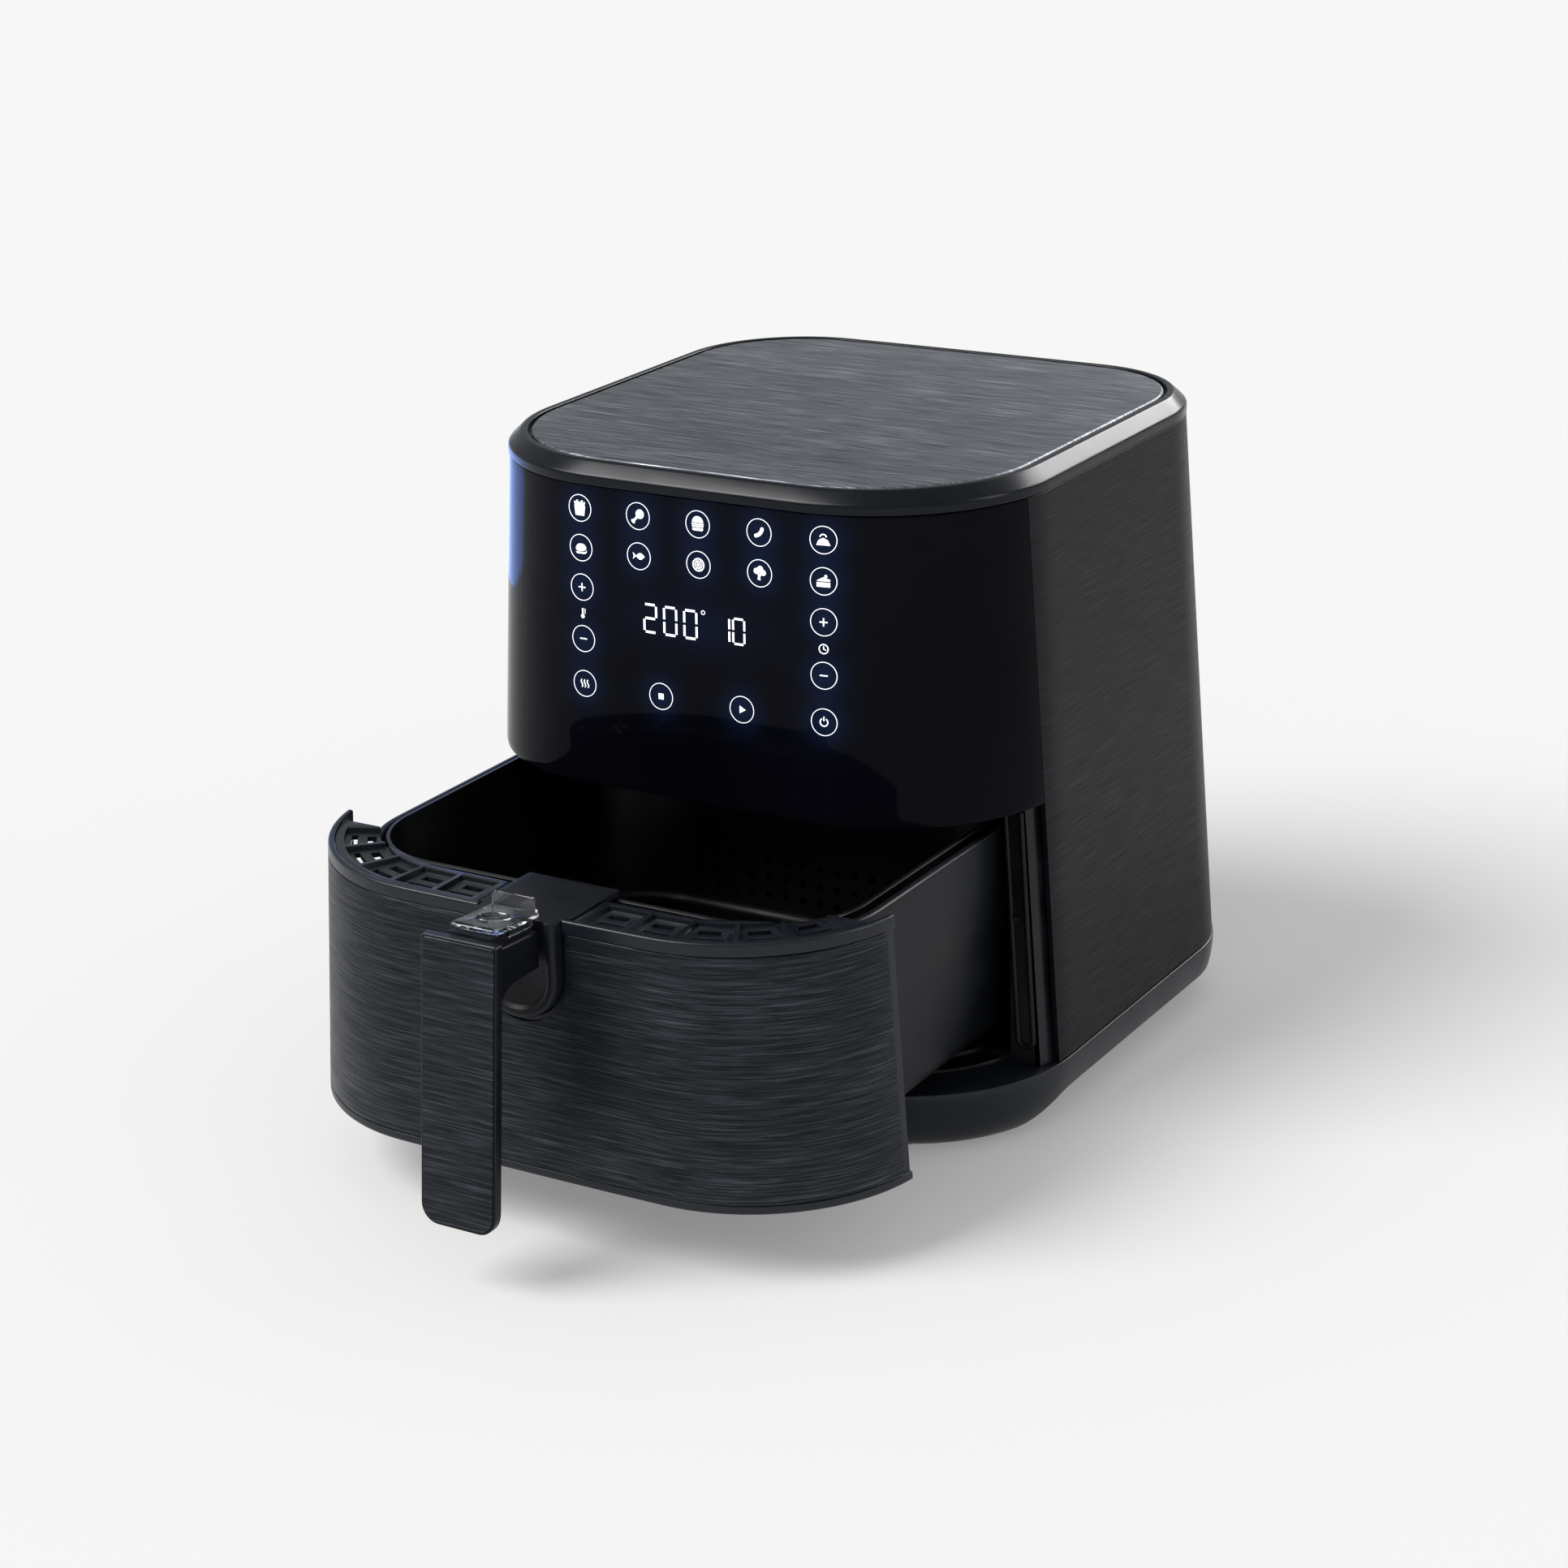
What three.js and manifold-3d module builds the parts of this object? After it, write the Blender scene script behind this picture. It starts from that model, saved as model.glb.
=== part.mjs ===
// Drawer-style air fryer, built as an assembly of separate parts.
// Millimetres, +Z up, front towards -Y. All parts are drawn with the drawer closed, in the housing's
// own frame (X = 0 is the middle plane, Z = 0 the floor). The drawer's group is then pulled open, and
// the whole fryer is moved along Y so that its footprint is centred on the origin.

import * as THREE from "three";
import { mergeVertices } from "three/addons/utils/BufferGeometryUtils.js";
import Module from "manifold-3d";

const wasm = await Module();
wasm.setup();

// ---------------------------------------------------------------- driving dimensions

// Housing
const HEIGHT = 320;
const WIDTH = 316; // at the floor
const DEPTH = 306; // at the floor
const SIDE_LEAN = 0.054; // how far each wall leans in for each millimetre of height
const FRONT_LEAN = 0.028;
const REAR_LEAN = 0.03;
const FRONT_CORNER = 85;
const REAR_CORNER = 66;
const FRONT_BOW = 3.5; // how far the front's middle stands ahead of its corners
const REAR_BOW = 2;
const SEAM_SETBACK = 77; // front face to the joint between front pieces and side wrap
const WRAP_INSET = 0.6; // wrap, panel and drawer front stand this far inside the base and ring
const WRAP_WALL = 2.2;
const PANEL_WALL = 3;
const BASE_TOP = 33.5;
const BASE_WALL = 3;
const BASE_CHIN = 3; // floor to the underside of the base's front
const BASE_ARCH = 17; // floor to the base's underside along the sides and the rear
const CHIN_DEPTH = 46; // front edge to where the base starts to rise towards the arch
const ARCH_RUN = 40; // along which it rises
const RING_HEIGHT = 10.5;
const RING_CHAMFER = 7;
const RING_WIDTH = 9.5;
const PLATE_GROOVE = 1.8;
const PLATE_THICK = 2.8;
const SILL_STEP = 4;

// Drawer, basket and cavity
const DRAWER_OPEN = 144; // how far the drawer stands open at rest
const DRAWER_BOTTOM = 35.5;
const DRAWER_TOP = 160;
const DRAWER_WALL = 3;
const DRAWER_TO_PANEL = 3.5;
const SKIN = 0.8;
const CAVITY_SIDE_SPACE = 14.2; // housing skin to cavity wall, at the cavity's mouth
const CAVITY_REAR_SPACE = 24;
const SHEET = 0.8;
const PAN_BOTTOM = 44;
const PAN_CORNER = 50;
const PAN_RIM_WIDTH = 3;
const PAN_LEAN = 0.05;
const PAN_FRONT_SPACE = 34; // drawer's front face to the pan's rim
const BASKET_SPACE = 4; // pan wall to basket wall
const BASKET_FLOOR = 58;
const BASKET_DROP = 4; // drawer's top to the basket's rim
const GRILLE_WIDTH = 27;
const GRILLE_CELLS = 5;
const NECK_PLATE_HALF = 24; // half the plate between the two grilles

// Handle
const HANDLE_WIDTH = 39.4;
const HANDLE_RISE = 3; // handle's top above the drawer's
const HANDLE_BOTTOM = 32;
const HANDLE_REACH = 44.5; // handle's top front edge to the drawer's face
const HANDLE_LEAN = 0.1;
const HANDLE_THICK = 9;
const NECK_HALF = 15;
const CUT_HALF = 22.5; // half the U-shaped cut in the drawer front
const CUT_DEPTH = 49;
const GUARD_TRAVEL = 9;
const GUARD_OVERHANG = 5; // how far the guard reaches past the neck, over the block
const GUARD_HALF = 12.5;
const GUARD_SLOPE = 0.072;

// Heater, fans and motor
const COIL_TUBE = 3;
const FAN_DEPTH = 11;
const SHAFT_RADIUS = 3.5;
const MOTOR_RADIUS = 32;
const MOTOR_HEIGHT = 26;
const COOLING_FAN_RADIUS = 46;
const DOME_HEIGHT = 36;

// Gaps
const GAP = 0.4; // between pieces that are fixed together
const RUN = 0.8; // between pieces that move past each other
const FAR = 1000;

// ---------------------------------------------------------------- solids

// A closed geometry as a solid whose faces point out.
function solid(geometry) {
  const plain = geometry.index ? geometry.toNonIndexed() : geometry.clone();
  plain.deleteAttribute("normal");
  plain.deleteAttribute("uv");
  const merged = mergeVertices(plain, 1e-3);
  const triVerts = new Uint32Array(merged.index.array);
  const vertProperties = new Float32Array(merged.attributes.position.array);
  const made = new wasm.Manifold(new wasm.Mesh({ numProp: 3, vertProperties, triVerts }));
  if (made.volume() > 0) return made;
  for (let i = 0; i < triVerts.length; i += 3) {
    [triVerts[i + 1], triVerts[i + 2]] = [triVerts[i + 2], triVerts[i + 1]];
  }
  return new wasm.Manifold(new wasm.Mesh({ numProp: 3, vertProperties, triVerts }));
}

const join = (solids) => solids.reduce((all, one) => all.add(one));
const cut = (body, tools) => body.subtract(join(tools));

function box(x0, x1, y0, y1, z0, z1) {
  const geometry = new THREE.BoxGeometry(x1 - x0, y1 - y0, z1 - z0);
  return solid(geometry.translate((x0 + x1) / 2, (y0 + y1) / 2, (z0 + z1) / 2));
}

// A round bar along one axis; `at` holds its other two coordinates, in X, Y, Z order.
function rod(axis, radius, from, to, at, sides = 24) {
  const geometry = new THREE.CylinderGeometry(radius, radius, to - from, sides);
  const middle = (from + to) / 2;
  if (axis === "x") return solid(geometry.rotateZ(Math.PI / 2).translate(middle, at[0], at[1]));
  if (axis === "y") return solid(geometry.translate(at[0], middle, at[1]));
  return solid(geometry.rotateX(Math.PI / 2).translate(at[0], at[1], middle));
}

// A [radius, height] profile turned about a vertical axis. A profile off the axis makes a ring.
function spin(profile, at = [0, 0], sides = 40) {
  const points = profile.map(([radius, height]) => new THREE.Vector2(radius, height));
  if (profile[0][0] > 0) points.push(points[0].clone());
  return solid(new THREE.LatheGeometry(points, sides).rotateX(Math.PI / 2).translate(at[0], at[1], 0));
}

// A side-view outline of [y, z] points, extruded along X.
function slabX(points, x0, x1) {
  const shape = new THREE.Shape(points.map(([y, z]) => new THREE.Vector2(y, z)));
  const geometry = new THREE.ExtrudeGeometry(shape, { depth: x1 - x0, bevelEnabled: false });
  const turn = new THREE.Matrix4().makeBasis(
    new THREE.Vector3(0, 1, 0),
    new THREE.Vector3(0, 0, 1),
    new THREE.Vector3(1, 0, 0),
  );
  return solid(geometry.applyMatrix4(turn).translate(x0, 0, 0));
}

// A front-view outline of [x, z] points, extruded along Y.
function slabY(points, y0, y1) {
  const shape = new THREE.Shape(points.map(([x, z]) => new THREE.Vector2(x, z)));
  const geometry = new THREE.ExtrudeGeometry(shape, { depth: y1 - y0, bevelEnabled: false });
  return solid(geometry.rotateX(Math.PI / 2).translate(0, y1, 0));
}

// A tube swept along a curve.
function tube(curve, radius, steps, sides) {
  const circle = new THREE.Shape().absarc(0, 0, radius, 0, 2 * Math.PI);
  const settings = { steps, curveSegments: sides / 2, extrudePath: curve, bevelEnabled: false };
  return solid(new THREE.ExtrudeGeometry(circle, settings));
}

// A solid between level rings with the same number of [x, y] points.
function loft(levels) {
  const count = levels[0].ring.length;
  const positions = levels.flatMap(({ z, ring }) => ring.flatMap(([x, y]) => [x, y, z]));
  const faces = [];
  for (let level = 0; level < levels.length - 1; level++) {
    for (let i = 0; i < count; i++) {
      const next = (i + 1) % count;
      const low = level * count;
      const high = low + count;
      faces.push(low + i, low + next, high + next, low + i, high + next, high + i);
    }
  }
  const last = (levels.length - 1) * count;
  for (let i = 1; i < count - 1; i++) {
    faces.push(0, i + 1, i);
    faces.push(last, last + i, last + i + 1);
  }
  const geometry = new THREE.BufferGeometry();
  geometry.setAttribute("position", new THREE.Float32BufferAttribute(positions, 3));
  return solid(geometry.setIndex(faces));
}

// Points of an arc, from one angle to another.
function arc(cx, cy, radius, from, to, steps) {
  return Array.from({ length: steps + 1 }, (_, i) => {
    const angle = from + ((to - from) * i) / steps;
    return [cx + radius * Math.cos(angle), cy + radius * Math.sin(angle)];
  });
}

// Points between two ends, without the ends.
function between([x0, y0], [x1, y1], steps) {
  return Array.from({ length: steps - 1 }, (_, i) => {
    const share = (i + 1) / steps;
    return [x0 + (x1 - x0) * share, y0 + (y1 - y0) * share];
  });
}

const CORNER_STEPS = 6;
const FRONT_STEPS = 8;
const REAR_STEPS = 4;

// A rounded rectangle in plan, anticlockwise from its right side.
function roundedRing({ half, front, rear, frontRadius, rearRadius = frontRadius }) {
  const quarter = Math.PI / 2;
  const corner = (sideX, y, radius, turn) =>
    arc(sideX * (half - radius), y, radius, turn * quarter, (turn + 1) * quarter, CORNER_STEPS);
  const rearRight = corner(1, rear - rearRadius, rearRadius, 0);
  const rearLeft = corner(-1, rear - rearRadius, rearRadius, 1);
  const frontLeft = corner(-1, front + frontRadius, frontRadius, 2);
  const frontRight = corner(1, front + frontRadius, frontRadius, 3);
  return [
    ...rearRight,
    ...between(rearRight.at(-1), rearLeft[0], REAR_STEPS),
    ...rearLeft,
    ...frontLeft,
    ...between(frontLeft.at(-1), frontRight[0], FRONT_STEPS),
    ...frontRight,
  ];
}

// ---------------------------------------------------------------- the housing's leaning outline

const halfAt = (z) => WIDTH / 2 - SIDE_LEAN * z;
const frontAt = (z) => -DEPTH / 2 + FRONT_LEAN * z;
const rearAt = (z) => DEPTH / 2 - REAR_LEAN * z;
const SEAM = -DEPTH / 2 + SEAM_SETBACK;

// How far the front corner has drawn a side in at a given Y.
function cornerDraw(y) {
  const past = Math.max(0, FRONT_CORNER - DEPTH / 2 - y);
  return FRONT_CORNER - Math.sqrt(FRONT_CORNER ** 2 - past ** 2);
}

function bodyRing(z, inset) {
  const half = halfAt(z) - inset;
  const ring = roundedRing({
    half,
    front: frontAt(z) + inset,
    rear: rearAt(z) - inset,
    frontRadius: FRONT_CORNER - inset,
    rearRadius: REAR_CORNER - inset,
  });
  return ring.map(([x, y]) => {
    const bow = y < 0 ? FRONT_BOW : REAR_BOW;
    return [x, y - (bow * (x / half) ** 2 * y) / (DEPTH / 2)];
  });
}

const bodyLoft = (...levels) => loft(levels.map(([z, inset]) => ({ z, ring: bodyRing(z, inset) })));
const bodySolid = (inset, z0, z1) => bodyLoft([z0, inset], [z1, inset]);
const bodyShell = (inset, wall, z0, z1) =>
  bodySolid(inset, z0, z1).subtract(bodySolid(inset + wall, z0 - 1, z1 + 1));
const slice = (y0, y1) => box(-FAR, FAR, y0, y1, -FAR, FAR);

// ---------------------------------------------------------------- sizes that follow

const RING_BOTTOM = HEIGHT - RING_HEIGHT;
const CHIN_END = frontAt(0) + CHIN_DEPTH;
const BASKET_RIM = DRAWER_TOP - BASKET_DROP;
const HANDLE_TOP = DRAWER_TOP + HANDLE_RISE;
const CUT_BOTTOM = DRAWER_TOP - CUT_DEPTH;
const PANEL_BOTTOM = DRAWER_TOP + DRAWER_TO_PANEL;
const FRAME_INSET = WRAP_INSET + Math.max(PANEL_WALL, DRAWER_WALL) + RUN;
const FRAME_FRONT = SEAM - 9;
const FRAME_WALL = 2.5;
const CAVITY_HALF = halfAt(DRAWER_TOP) - CAVITY_SIDE_SPACE - cornerDraw(FRAME_FRONT);
const CAVITY_FRONT = FRAME_FRONT + FRAME_WALL + GAP;
const CAVITY_REAR = rearAt(DRAWER_TOP) - CAVITY_REAR_SPACE;
const CAVITY_FLOOR = BASE_TOP + 4;
const CAVITY_TOP = PANEL_BOTTOM + 1;
const PAN_TOP = BASKET_RIM - 2;
const PAN_HALF = CAVITY_HALF - 2 - PAN_RIM_WIDTH;
const PAN_FRONT = frontAt(DRAWER_TOP) + PAN_FRONT_SPACE + PAN_RIM_WIDTH;
const PAN_REAR = CAVITY_REAR - 2 - PAN_RIM_WIDTH;
const FAN_Y = (CAVITY_FRONT + CAVITY_REAR) / 2;
const DOME_RADIUS = Math.min(CAVITY_HALF, (CAVITY_REAR - CAVITY_FRONT) / 2) - 8;
const DOME_BASE = CAVITY_TOP + SHEET + GAP;
const DOME_TOP = DOME_BASE + DOME_HEIGHT;
const MOTOR_BASE = DOME_TOP + 7;
const MOTOR_TOP = MOTOR_BASE + MOTOR_HEIGHT;

// ---------------------------------------------------------------- the group and its materials

const fryer = new THREE.Group();
const housing = new THREE.Group();
const rotor = new THREE.Group();
const drawer = new THREE.Group();
const basketGroup = new THREE.Group();
fryer.add(housing, rotor, drawer);
drawer.add(basketGroup);
drawer.position.y = -DRAWER_OPEN;

const finish = (color, roughness, metalness, extra = {}) =>
  new THREE.MeshStandardMaterial({ color, roughness, metalness, ...extra });
const satinBlack = finish(0x16181c, 0.45, 0);
const glossBlack = finish(0x07080a, 0.08, 0);
const brushedBlack = finish(0x2a2d33, 0.38, 0.85);
const coatedBlack = finish(0x17181a, 0.42, 0.2);
const greySteel = finish(0x9a9da2, 0.35, 0.9);
const darkSteel = finish(0x54575c, 0.4, 0.9);
const rubberBlack = finish(0x121212, 0.9, 0);
const circuitGreen = finish(0x1c4a2c, 0.6, 0);
const clearPlastic = finish(0xe8edf2, 0.08, 0, { transparent: true, opacity: 0.35 });
const litGlass = finish(0x0b0d10, 0.15, 0);

// Adds a solid to a group as a named mesh.
function part(group, name, body, material) {
  const { numProp, numVert, vertProperties, triVerts } = body.getMesh();
  const positions = new Float32Array(numVert * 3);
  for (let i = 0; i < numVert; i++) {
    positions.set(vertProperties.subarray(i * numProp, i * numProp + 3), i * 3);
  }
  const geometry = new THREE.BufferGeometry();
  geometry.setAttribute("position", new THREE.BufferAttribute(positions, 3));
  geometry.setIndex(new THREE.BufferAttribute(triVerts, 1));
  geometry.computeVertexNormals();
  const mesh = new THREE.Mesh(geometry, material);
  mesh.name = name;
  group.add(mesh);
}

// ---------------------------------------------------------------- base, feet and bottom plate

const SCREW_SHANK = 2;
const SCREW_HEAD = 4;
const BOTTOM_PLATE_Z = BASE_ARCH + 2;
const BOTTOM_PLATE_TOP = BOTTOM_PLATE_Z + 2.5;
const FOOT_RADIUS = 9;
const footPlaces = [-1, 1].flatMap((side) => [
  [side * (halfAt(0) - 62), frontAt(0) + 34],
  [side * (halfAt(0) - 52), rearAt(0) - 34],
]);
const baseScrewPlaces = [-1, 1].flatMap((side) => [
  [side * (halfAt(0) - 34), -DEPTH / 2 + 98],
  [side * (halfAt(0) - 34), DEPTH / 2 - 78],
]);

// Side view of the room under the base: a chin at the front, then a slope up to the arch.
function underBase() {
  return slabX(
    [
      [CHIN_END, -FAR],
      [CHIN_END, BASE_CHIN],
      [CHIN_END + ARCH_RUN * 0.3, BASE_CHIN + 3],
      [CHIN_END + ARCH_RUN * 0.75, BASE_ARCH - 2],
      [CHIN_END + ARCH_RUN, BASE_ARCH],
      [FAR, BASE_ARCH],
      [FAR, -FAR],
    ],
    -FAR,
    FAR,
  );
}

// Open tray that the wrap stands on. It has bosses for the screws, and a pad inside the chin that
// each front foot is pressed on.
function baseTray() {
  const outer = bodyLoft(
    [BASE_CHIN, 15],
    [BASE_CHIN + 2, 10],
    [BASE_CHIN + 8, 5],
    [BASE_ARCH + 3, 1.5],
    [BASE_TOP, 0],
  );
  const inner = bodyLoft(
    [-1, 15 + BASE_WALL],
    [BASE_CHIN + 8, 5 + BASE_WALL],
    [BASE_TOP - BASE_WALL, BASE_WALL],
  );
  const bosses = baseScrewPlaces.map((at) =>
    rod("z", SCREW_HEAD, BOTTOM_PLATE_TOP + GAP, BASE_TOP - 1, at, 16),
  );
  const pads = footPlaces
    .filter(([, y]) => y < 0)
    .map((at) => rod("z", FOOT_RADIUS + 2, BASE_CHIN, BASE_TOP - 1, at));
  const holes = baseScrewPlaces.map((at) => rod("z", SCREW_SHANK + 0.3, 0, BASE_TOP - 2, at, 12));
  return cut(join([cut(outer, [inner, underBase()]), ...bosses, ...pads]), holes);
}

// The plate that closes the base from below, with vent slots and posts for the rear feet.
function bottomPlate() {
  const inset = 6 + BASE_WALL;
  const behindChin = CHIN_END + ARCH_RUN + 6;
  const plate = bodySolid(inset, BOTTOM_PLATE_Z, BOTTOM_PLATE_TOP).subtract(slice(-FAR, behindChin));
  const posts = footPlaces
    .filter(([, y]) => y > 0)
    .map((at) => rod("z", FOOT_RADIUS + 2, BASE_CHIN, BOTTOM_PLATE_Z + 1, at));
  const slots = [];
  for (let row = -4; row <= 4; row++) {
    const y = FAN_Y + row * 11;
    slots.push(box(-50, -6, y - 2, y + 2, 0, BASE_TOP), box(6, 50, y - 2, y + 2, 0, BASE_TOP));
  }
  const holes = baseScrewPlaces.map((at) => rod("z", SCREW_SHANK + 0.3, 0, BASE_TOP, at, 12));
  return cut(join([plate, ...posts]), [...slots, ...holes]);
}

function screwZ(headFrom, tip, [x, y]) {
  const headTop = headFrom + 2.2;
  return spin(
    [
      [0, headFrom],
      [SCREW_HEAD - 0.5, headFrom],
      [SCREW_HEAD - 0.5, headTop],
      [SCREW_SHANK, headTop],
      [SCREW_SHANK, tip],
      [0, tip],
    ],
    [x, y],
    12,
  );
}

function footPad([x, y]) {
  const top = BASE_CHIN - GAP;
  return spin(
    [
      [0, 0],
      [FOOT_RADIUS - 1, 0],
      [FOOT_RADIUS, 1],
      [FOOT_RADIUS, top],
      [0, top],
    ],
    [x, y],
    24,
  );
}

part(housing, "base_tray", baseTray(), satinBlack);
part(housing, "bottom_plate", bottomPlate(), satinBlack);
footPlaces.forEach((at, i) => part(housing, `foot_${i + 1}`, footPad(at), rubberBlack));
baseScrewPlaces.forEach((at, i) => {
  const body = screwZ(BOTTOM_PLATE_Z - 2.2 - GAP, BASE_TOP - 4, at);
  part(housing, `base_screw_${i + 1}`, body, greySteel);
});

// ---------------------------------------------------------------- side wrap and rear vent panel

const WRAP_BOTTOM = BASE_TOP + GAP;
const WRAP_TOP = RING_BOTTOM - GAP;
const VENT_HALF = 62;
const VENT_BOTTOM = CAVITY_TOP + 30;
const VENT_TOP = WRAP_TOP - 24;
const CORD_X = -(halfAt(0) - REAR_CORNER - 12);
const CORD_Z = BASE_TOP + 24;
const CORD_HOLE = 8;

function sideWrap() {
  const shell = bodyShell(WRAP_INSET, WRAP_WALL, WRAP_BOTTOM, WRAP_TOP);
  return cut(shell, [
    slice(-FAR, SEAM),
    box(-VENT_HALF, VENT_HALF, 0, FAR, VENT_BOTTOM, VENT_TOP),
    rod("y", CORD_HOLE, 0, FAR, [CORD_X, CORD_Z]),
  ]);
}

// Louvred panel that fills the wrap's rear opening, with a flange behind the opening's edge.
function rearVentPanel() {
  const face = bodyShell(WRAP_INSET + 0.6, WRAP_WALL, VENT_BOTTOM + GAP, VENT_TOP - GAP);
  const behind = WRAP_INSET + WRAP_WALL + GAP;
  const flange = bodyShell(behind, 1.6, VENT_BOTTOM - 6, VENT_TOP + 6);
  const tray = join([
    face.intersect(box(-VENT_HALF + GAP, VENT_HALF - GAP, 0, FAR, 0, FAR)),
    flange.intersect(box(-VENT_HALF - 6, VENT_HALF + 6, 0, FAR, 0, FAR)),
  ]);
  const rows = 9;
  const pitch = (VENT_TOP - VENT_BOTTOM - 12) / rows;
  const slots = [];
  for (let row = 0; row < rows; row++) {
    const z = VENT_BOTTOM + 6 + (row + 0.5) * pitch;
    slots.push(box(-VENT_HALF + 8, -4, 0, FAR, z - pitch / 4, z + pitch / 4));
    slots.push(box(4, VENT_HALF - 8, 0, FAR, z - pitch / 4, z + pitch / 4));
  }
  return cut(tray, slots);
}

// Bushing that the mains cord leaves through, clamped in the wrap's hole.
function cordGland() {
  const outside = rearAt(CORD_Z) + 2;
  const inside = rearAt(CORD_Z) - WRAP_INSET - WRAP_WALL - REAR_BOW - 2;
  const barrel = rod("y", CORD_HOLE - GAP, inside - 8, outside, [CORD_X, CORD_Z]);
  const nut = rod("y", CORD_HOLE + 3, inside - 6, inside - 1, [CORD_X, CORD_Z], 6);
  return join([barrel, nut]).subtract(rod("y", 3.6, 0, FAR, [CORD_X, CORD_Z], 16));
}

part(housing, "side_wrap", sideWrap(), brushedBlack);
part(housing, "rear_vent_panel", rearVentPanel(), satinBlack);
part(housing, "cord_gland", cordGland(), rubberBlack);

// ---------------------------------------------------------------- front panel and front frame

const SWITCH_Z = 108;
const SWITCH_HALF_HEIGHT = 9;
const SWITCH_INNER = CAVITY_HALF + SHEET;
const SWITCH_WALL = FRAME_INSET + FRAME_WALL + cornerDraw(FRAME_FRONT) + 2;
const SWITCH_OUTER = halfAt(SWITCH_Z + SWITCH_HALF_HEIGHT) - SWITCH_WALL;
const SWITCH_X = (SWITCH_INNER + SWITCH_OUTER) / 2;
const SWITCH_HALF = Math.min(3.2, (SWITCH_OUTER - SWITCH_INNER) / 2 - GAP);

function frontPanel() {
  const shell = bodyShell(WRAP_INSET, PANEL_WALL, PANEL_BOTTOM, WRAP_TOP);
  return shell.subtract(slice(SEAM - GAP, FAR));
}

// Moulding behind the panel and the drawer: an upright wall round the cavity's mouth, side walls
// that run back inside the wrap, a shelf that closes the panel from below, and a stepped sill.
function frontFrame() {
  const bottom = BASE_TOP + GAP;
  const wall = bodySolid(FRAME_INSET, bottom, WRAP_TOP);
  const upright = wall.intersect(slice(FRAME_FRONT, FRAME_FRONT + FRAME_WALL));
  const returns = bodyShell(FRAME_INSET, FRAME_WALL, bottom, WRAP_TOP).intersect(
    slice(FRAME_FRONT, SEAM + 14),
  );
  const shelfZ = PANEL_BOTTOM + 1;
  const shelf = bodySolid(WRAP_INSET + PANEL_WALL + GAP, shelfZ, shelfZ + 2.5);
  const step = (inset, from, to) => bodySolid(inset, from, to).intersect(slice(-FAR, FRAME_FRONT + 1));
  const mouth = box(-CAVITY_HALF, CAVITY_HALF, -FAR, 0, CAVITY_FLOOR, CAVITY_TOP - 1);
  return cut(
    join([
      upright.subtract(mouth),
      returns,
      shelf.intersect(slice(-FAR, FRAME_FRONT + 1)),
      step(FRAME_INSET + 18, bottom, bottom + SILL_STEP / 2),
      step(FRAME_INSET + 30, bottom + SILL_STEP / 4, bottom + SILL_STEP),
    ]),
    [rod("y", 2.2, FRAME_FRONT - 1, FRAME_FRONT + FRAME_WALL + 1, [SWITCH_X, SWITCH_Z], 12)],
  );
}

// Switch that cuts the power while the drawer is open; its plunger stands through the frame.
function drawerSwitch() {
  const rear = FRAME_FRONT + FRAME_WALL + GAP;
  const body = box(
    SWITCH_X - SWITCH_HALF,
    SWITCH_X + SWITCH_HALF,
    rear,
    rear + 16,
    SWITCH_Z - SWITCH_HALF_HEIGHT,
    SWITCH_Z + SWITCH_HALF_HEIGHT,
  );
  return body.add(rod("y", 1.6, FRAME_FRONT - 2, rear + 1, [SWITCH_X, SWITCH_Z], 12));
}

const CONTROL_BOARD_Y = frontAt(RING_BOTTOM) + WRAP_INSET + PANEL_WALL + 9;
const CONTROL_BOTTOM = PANEL_BOTTOM + 26;
const CONTROL_TOP = RING_BOTTOM - 8;
const CONTROL_HALF = halfAt(RING_BOTTOM) - FRONT_CORNER + 21;

function controlBoard() {
  const rear = CONTROL_BOARD_Y + 1.6;
  return box(-CONTROL_HALF, CONTROL_HALF, CONTROL_BOARD_Y, rear, CONTROL_BOTTOM, CONTROL_TOP);
}

// Digit display, soldered to the front of the control board.
function displayModule() {
  const middle = (CONTROL_BOTTOM + CONTROL_TOP) / 2 + 4;
  return box(-44, 44, CONTROL_BOARD_Y - 7, CONTROL_BOARD_Y - GAP, middle - 13, middle + 13);
}

part(housing, "front_panel", frontPanel(), glossBlack);
part(housing, "front_frame", frontFrame(), satinBlack);
part(housing, "drawer_switch", drawerSwitch(), satinBlack);
part(housing, "control_board", controlBoard(), circuitGreen);
part(housing, "display_module", displayModule(), litGlass);

// ---------------------------------------------------------------- top ring and top plate

const PLATE_INSET = RING_WIDTH + PLATE_GROOVE;
const PLATE_TOP = HEIGHT - 0.2;
const RING_FLOOR = PLATE_TOP - PLATE_THICK - GAP;

function topRing() {
  const outer = bodyLoft(
    [RING_BOTTOM, 0.3],
    [RING_BOTTOM + 1, 0],
    [HEIGHT - 5.5, 0],
    [HEIGHT, RING_CHAMFER],
  );
  return cut(outer, [
    bodySolid(RING_WIDTH + 7, RING_BOTTOM - 1, HEIGHT + 1),
    bodySolid(RING_WIDTH, RING_FLOOR, HEIGHT + 1),
  ]);
}

function topPlate() {
  return bodyLoft(
    [PLATE_TOP - PLATE_THICK, PLATE_INSET],
    [PLATE_TOP - 1, PLATE_INSET],
    [PLATE_TOP, PLATE_INSET + 1.2],
  );
}

part(housing, "top_ring", topRing(), satinBlack);
part(housing, "top_plate", topPlate(), brushedBlack);

// ---------------------------------------------------------------- cavity liner, runners, heat dome

const SENSOR_AT = [CAVITY_HALF - 22, CAVITY_REAR - 22];

function cavityRing(inset) {
  return roundedRing({
    half: CAVITY_HALF + SHEET - inset,
    front: -DEPTH,
    rear: CAVITY_REAR + SHEET - inset,
    frontRadius: 10,
    rearRadius: PAN_CORNER + SHEET - inset,
  });
}

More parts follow.
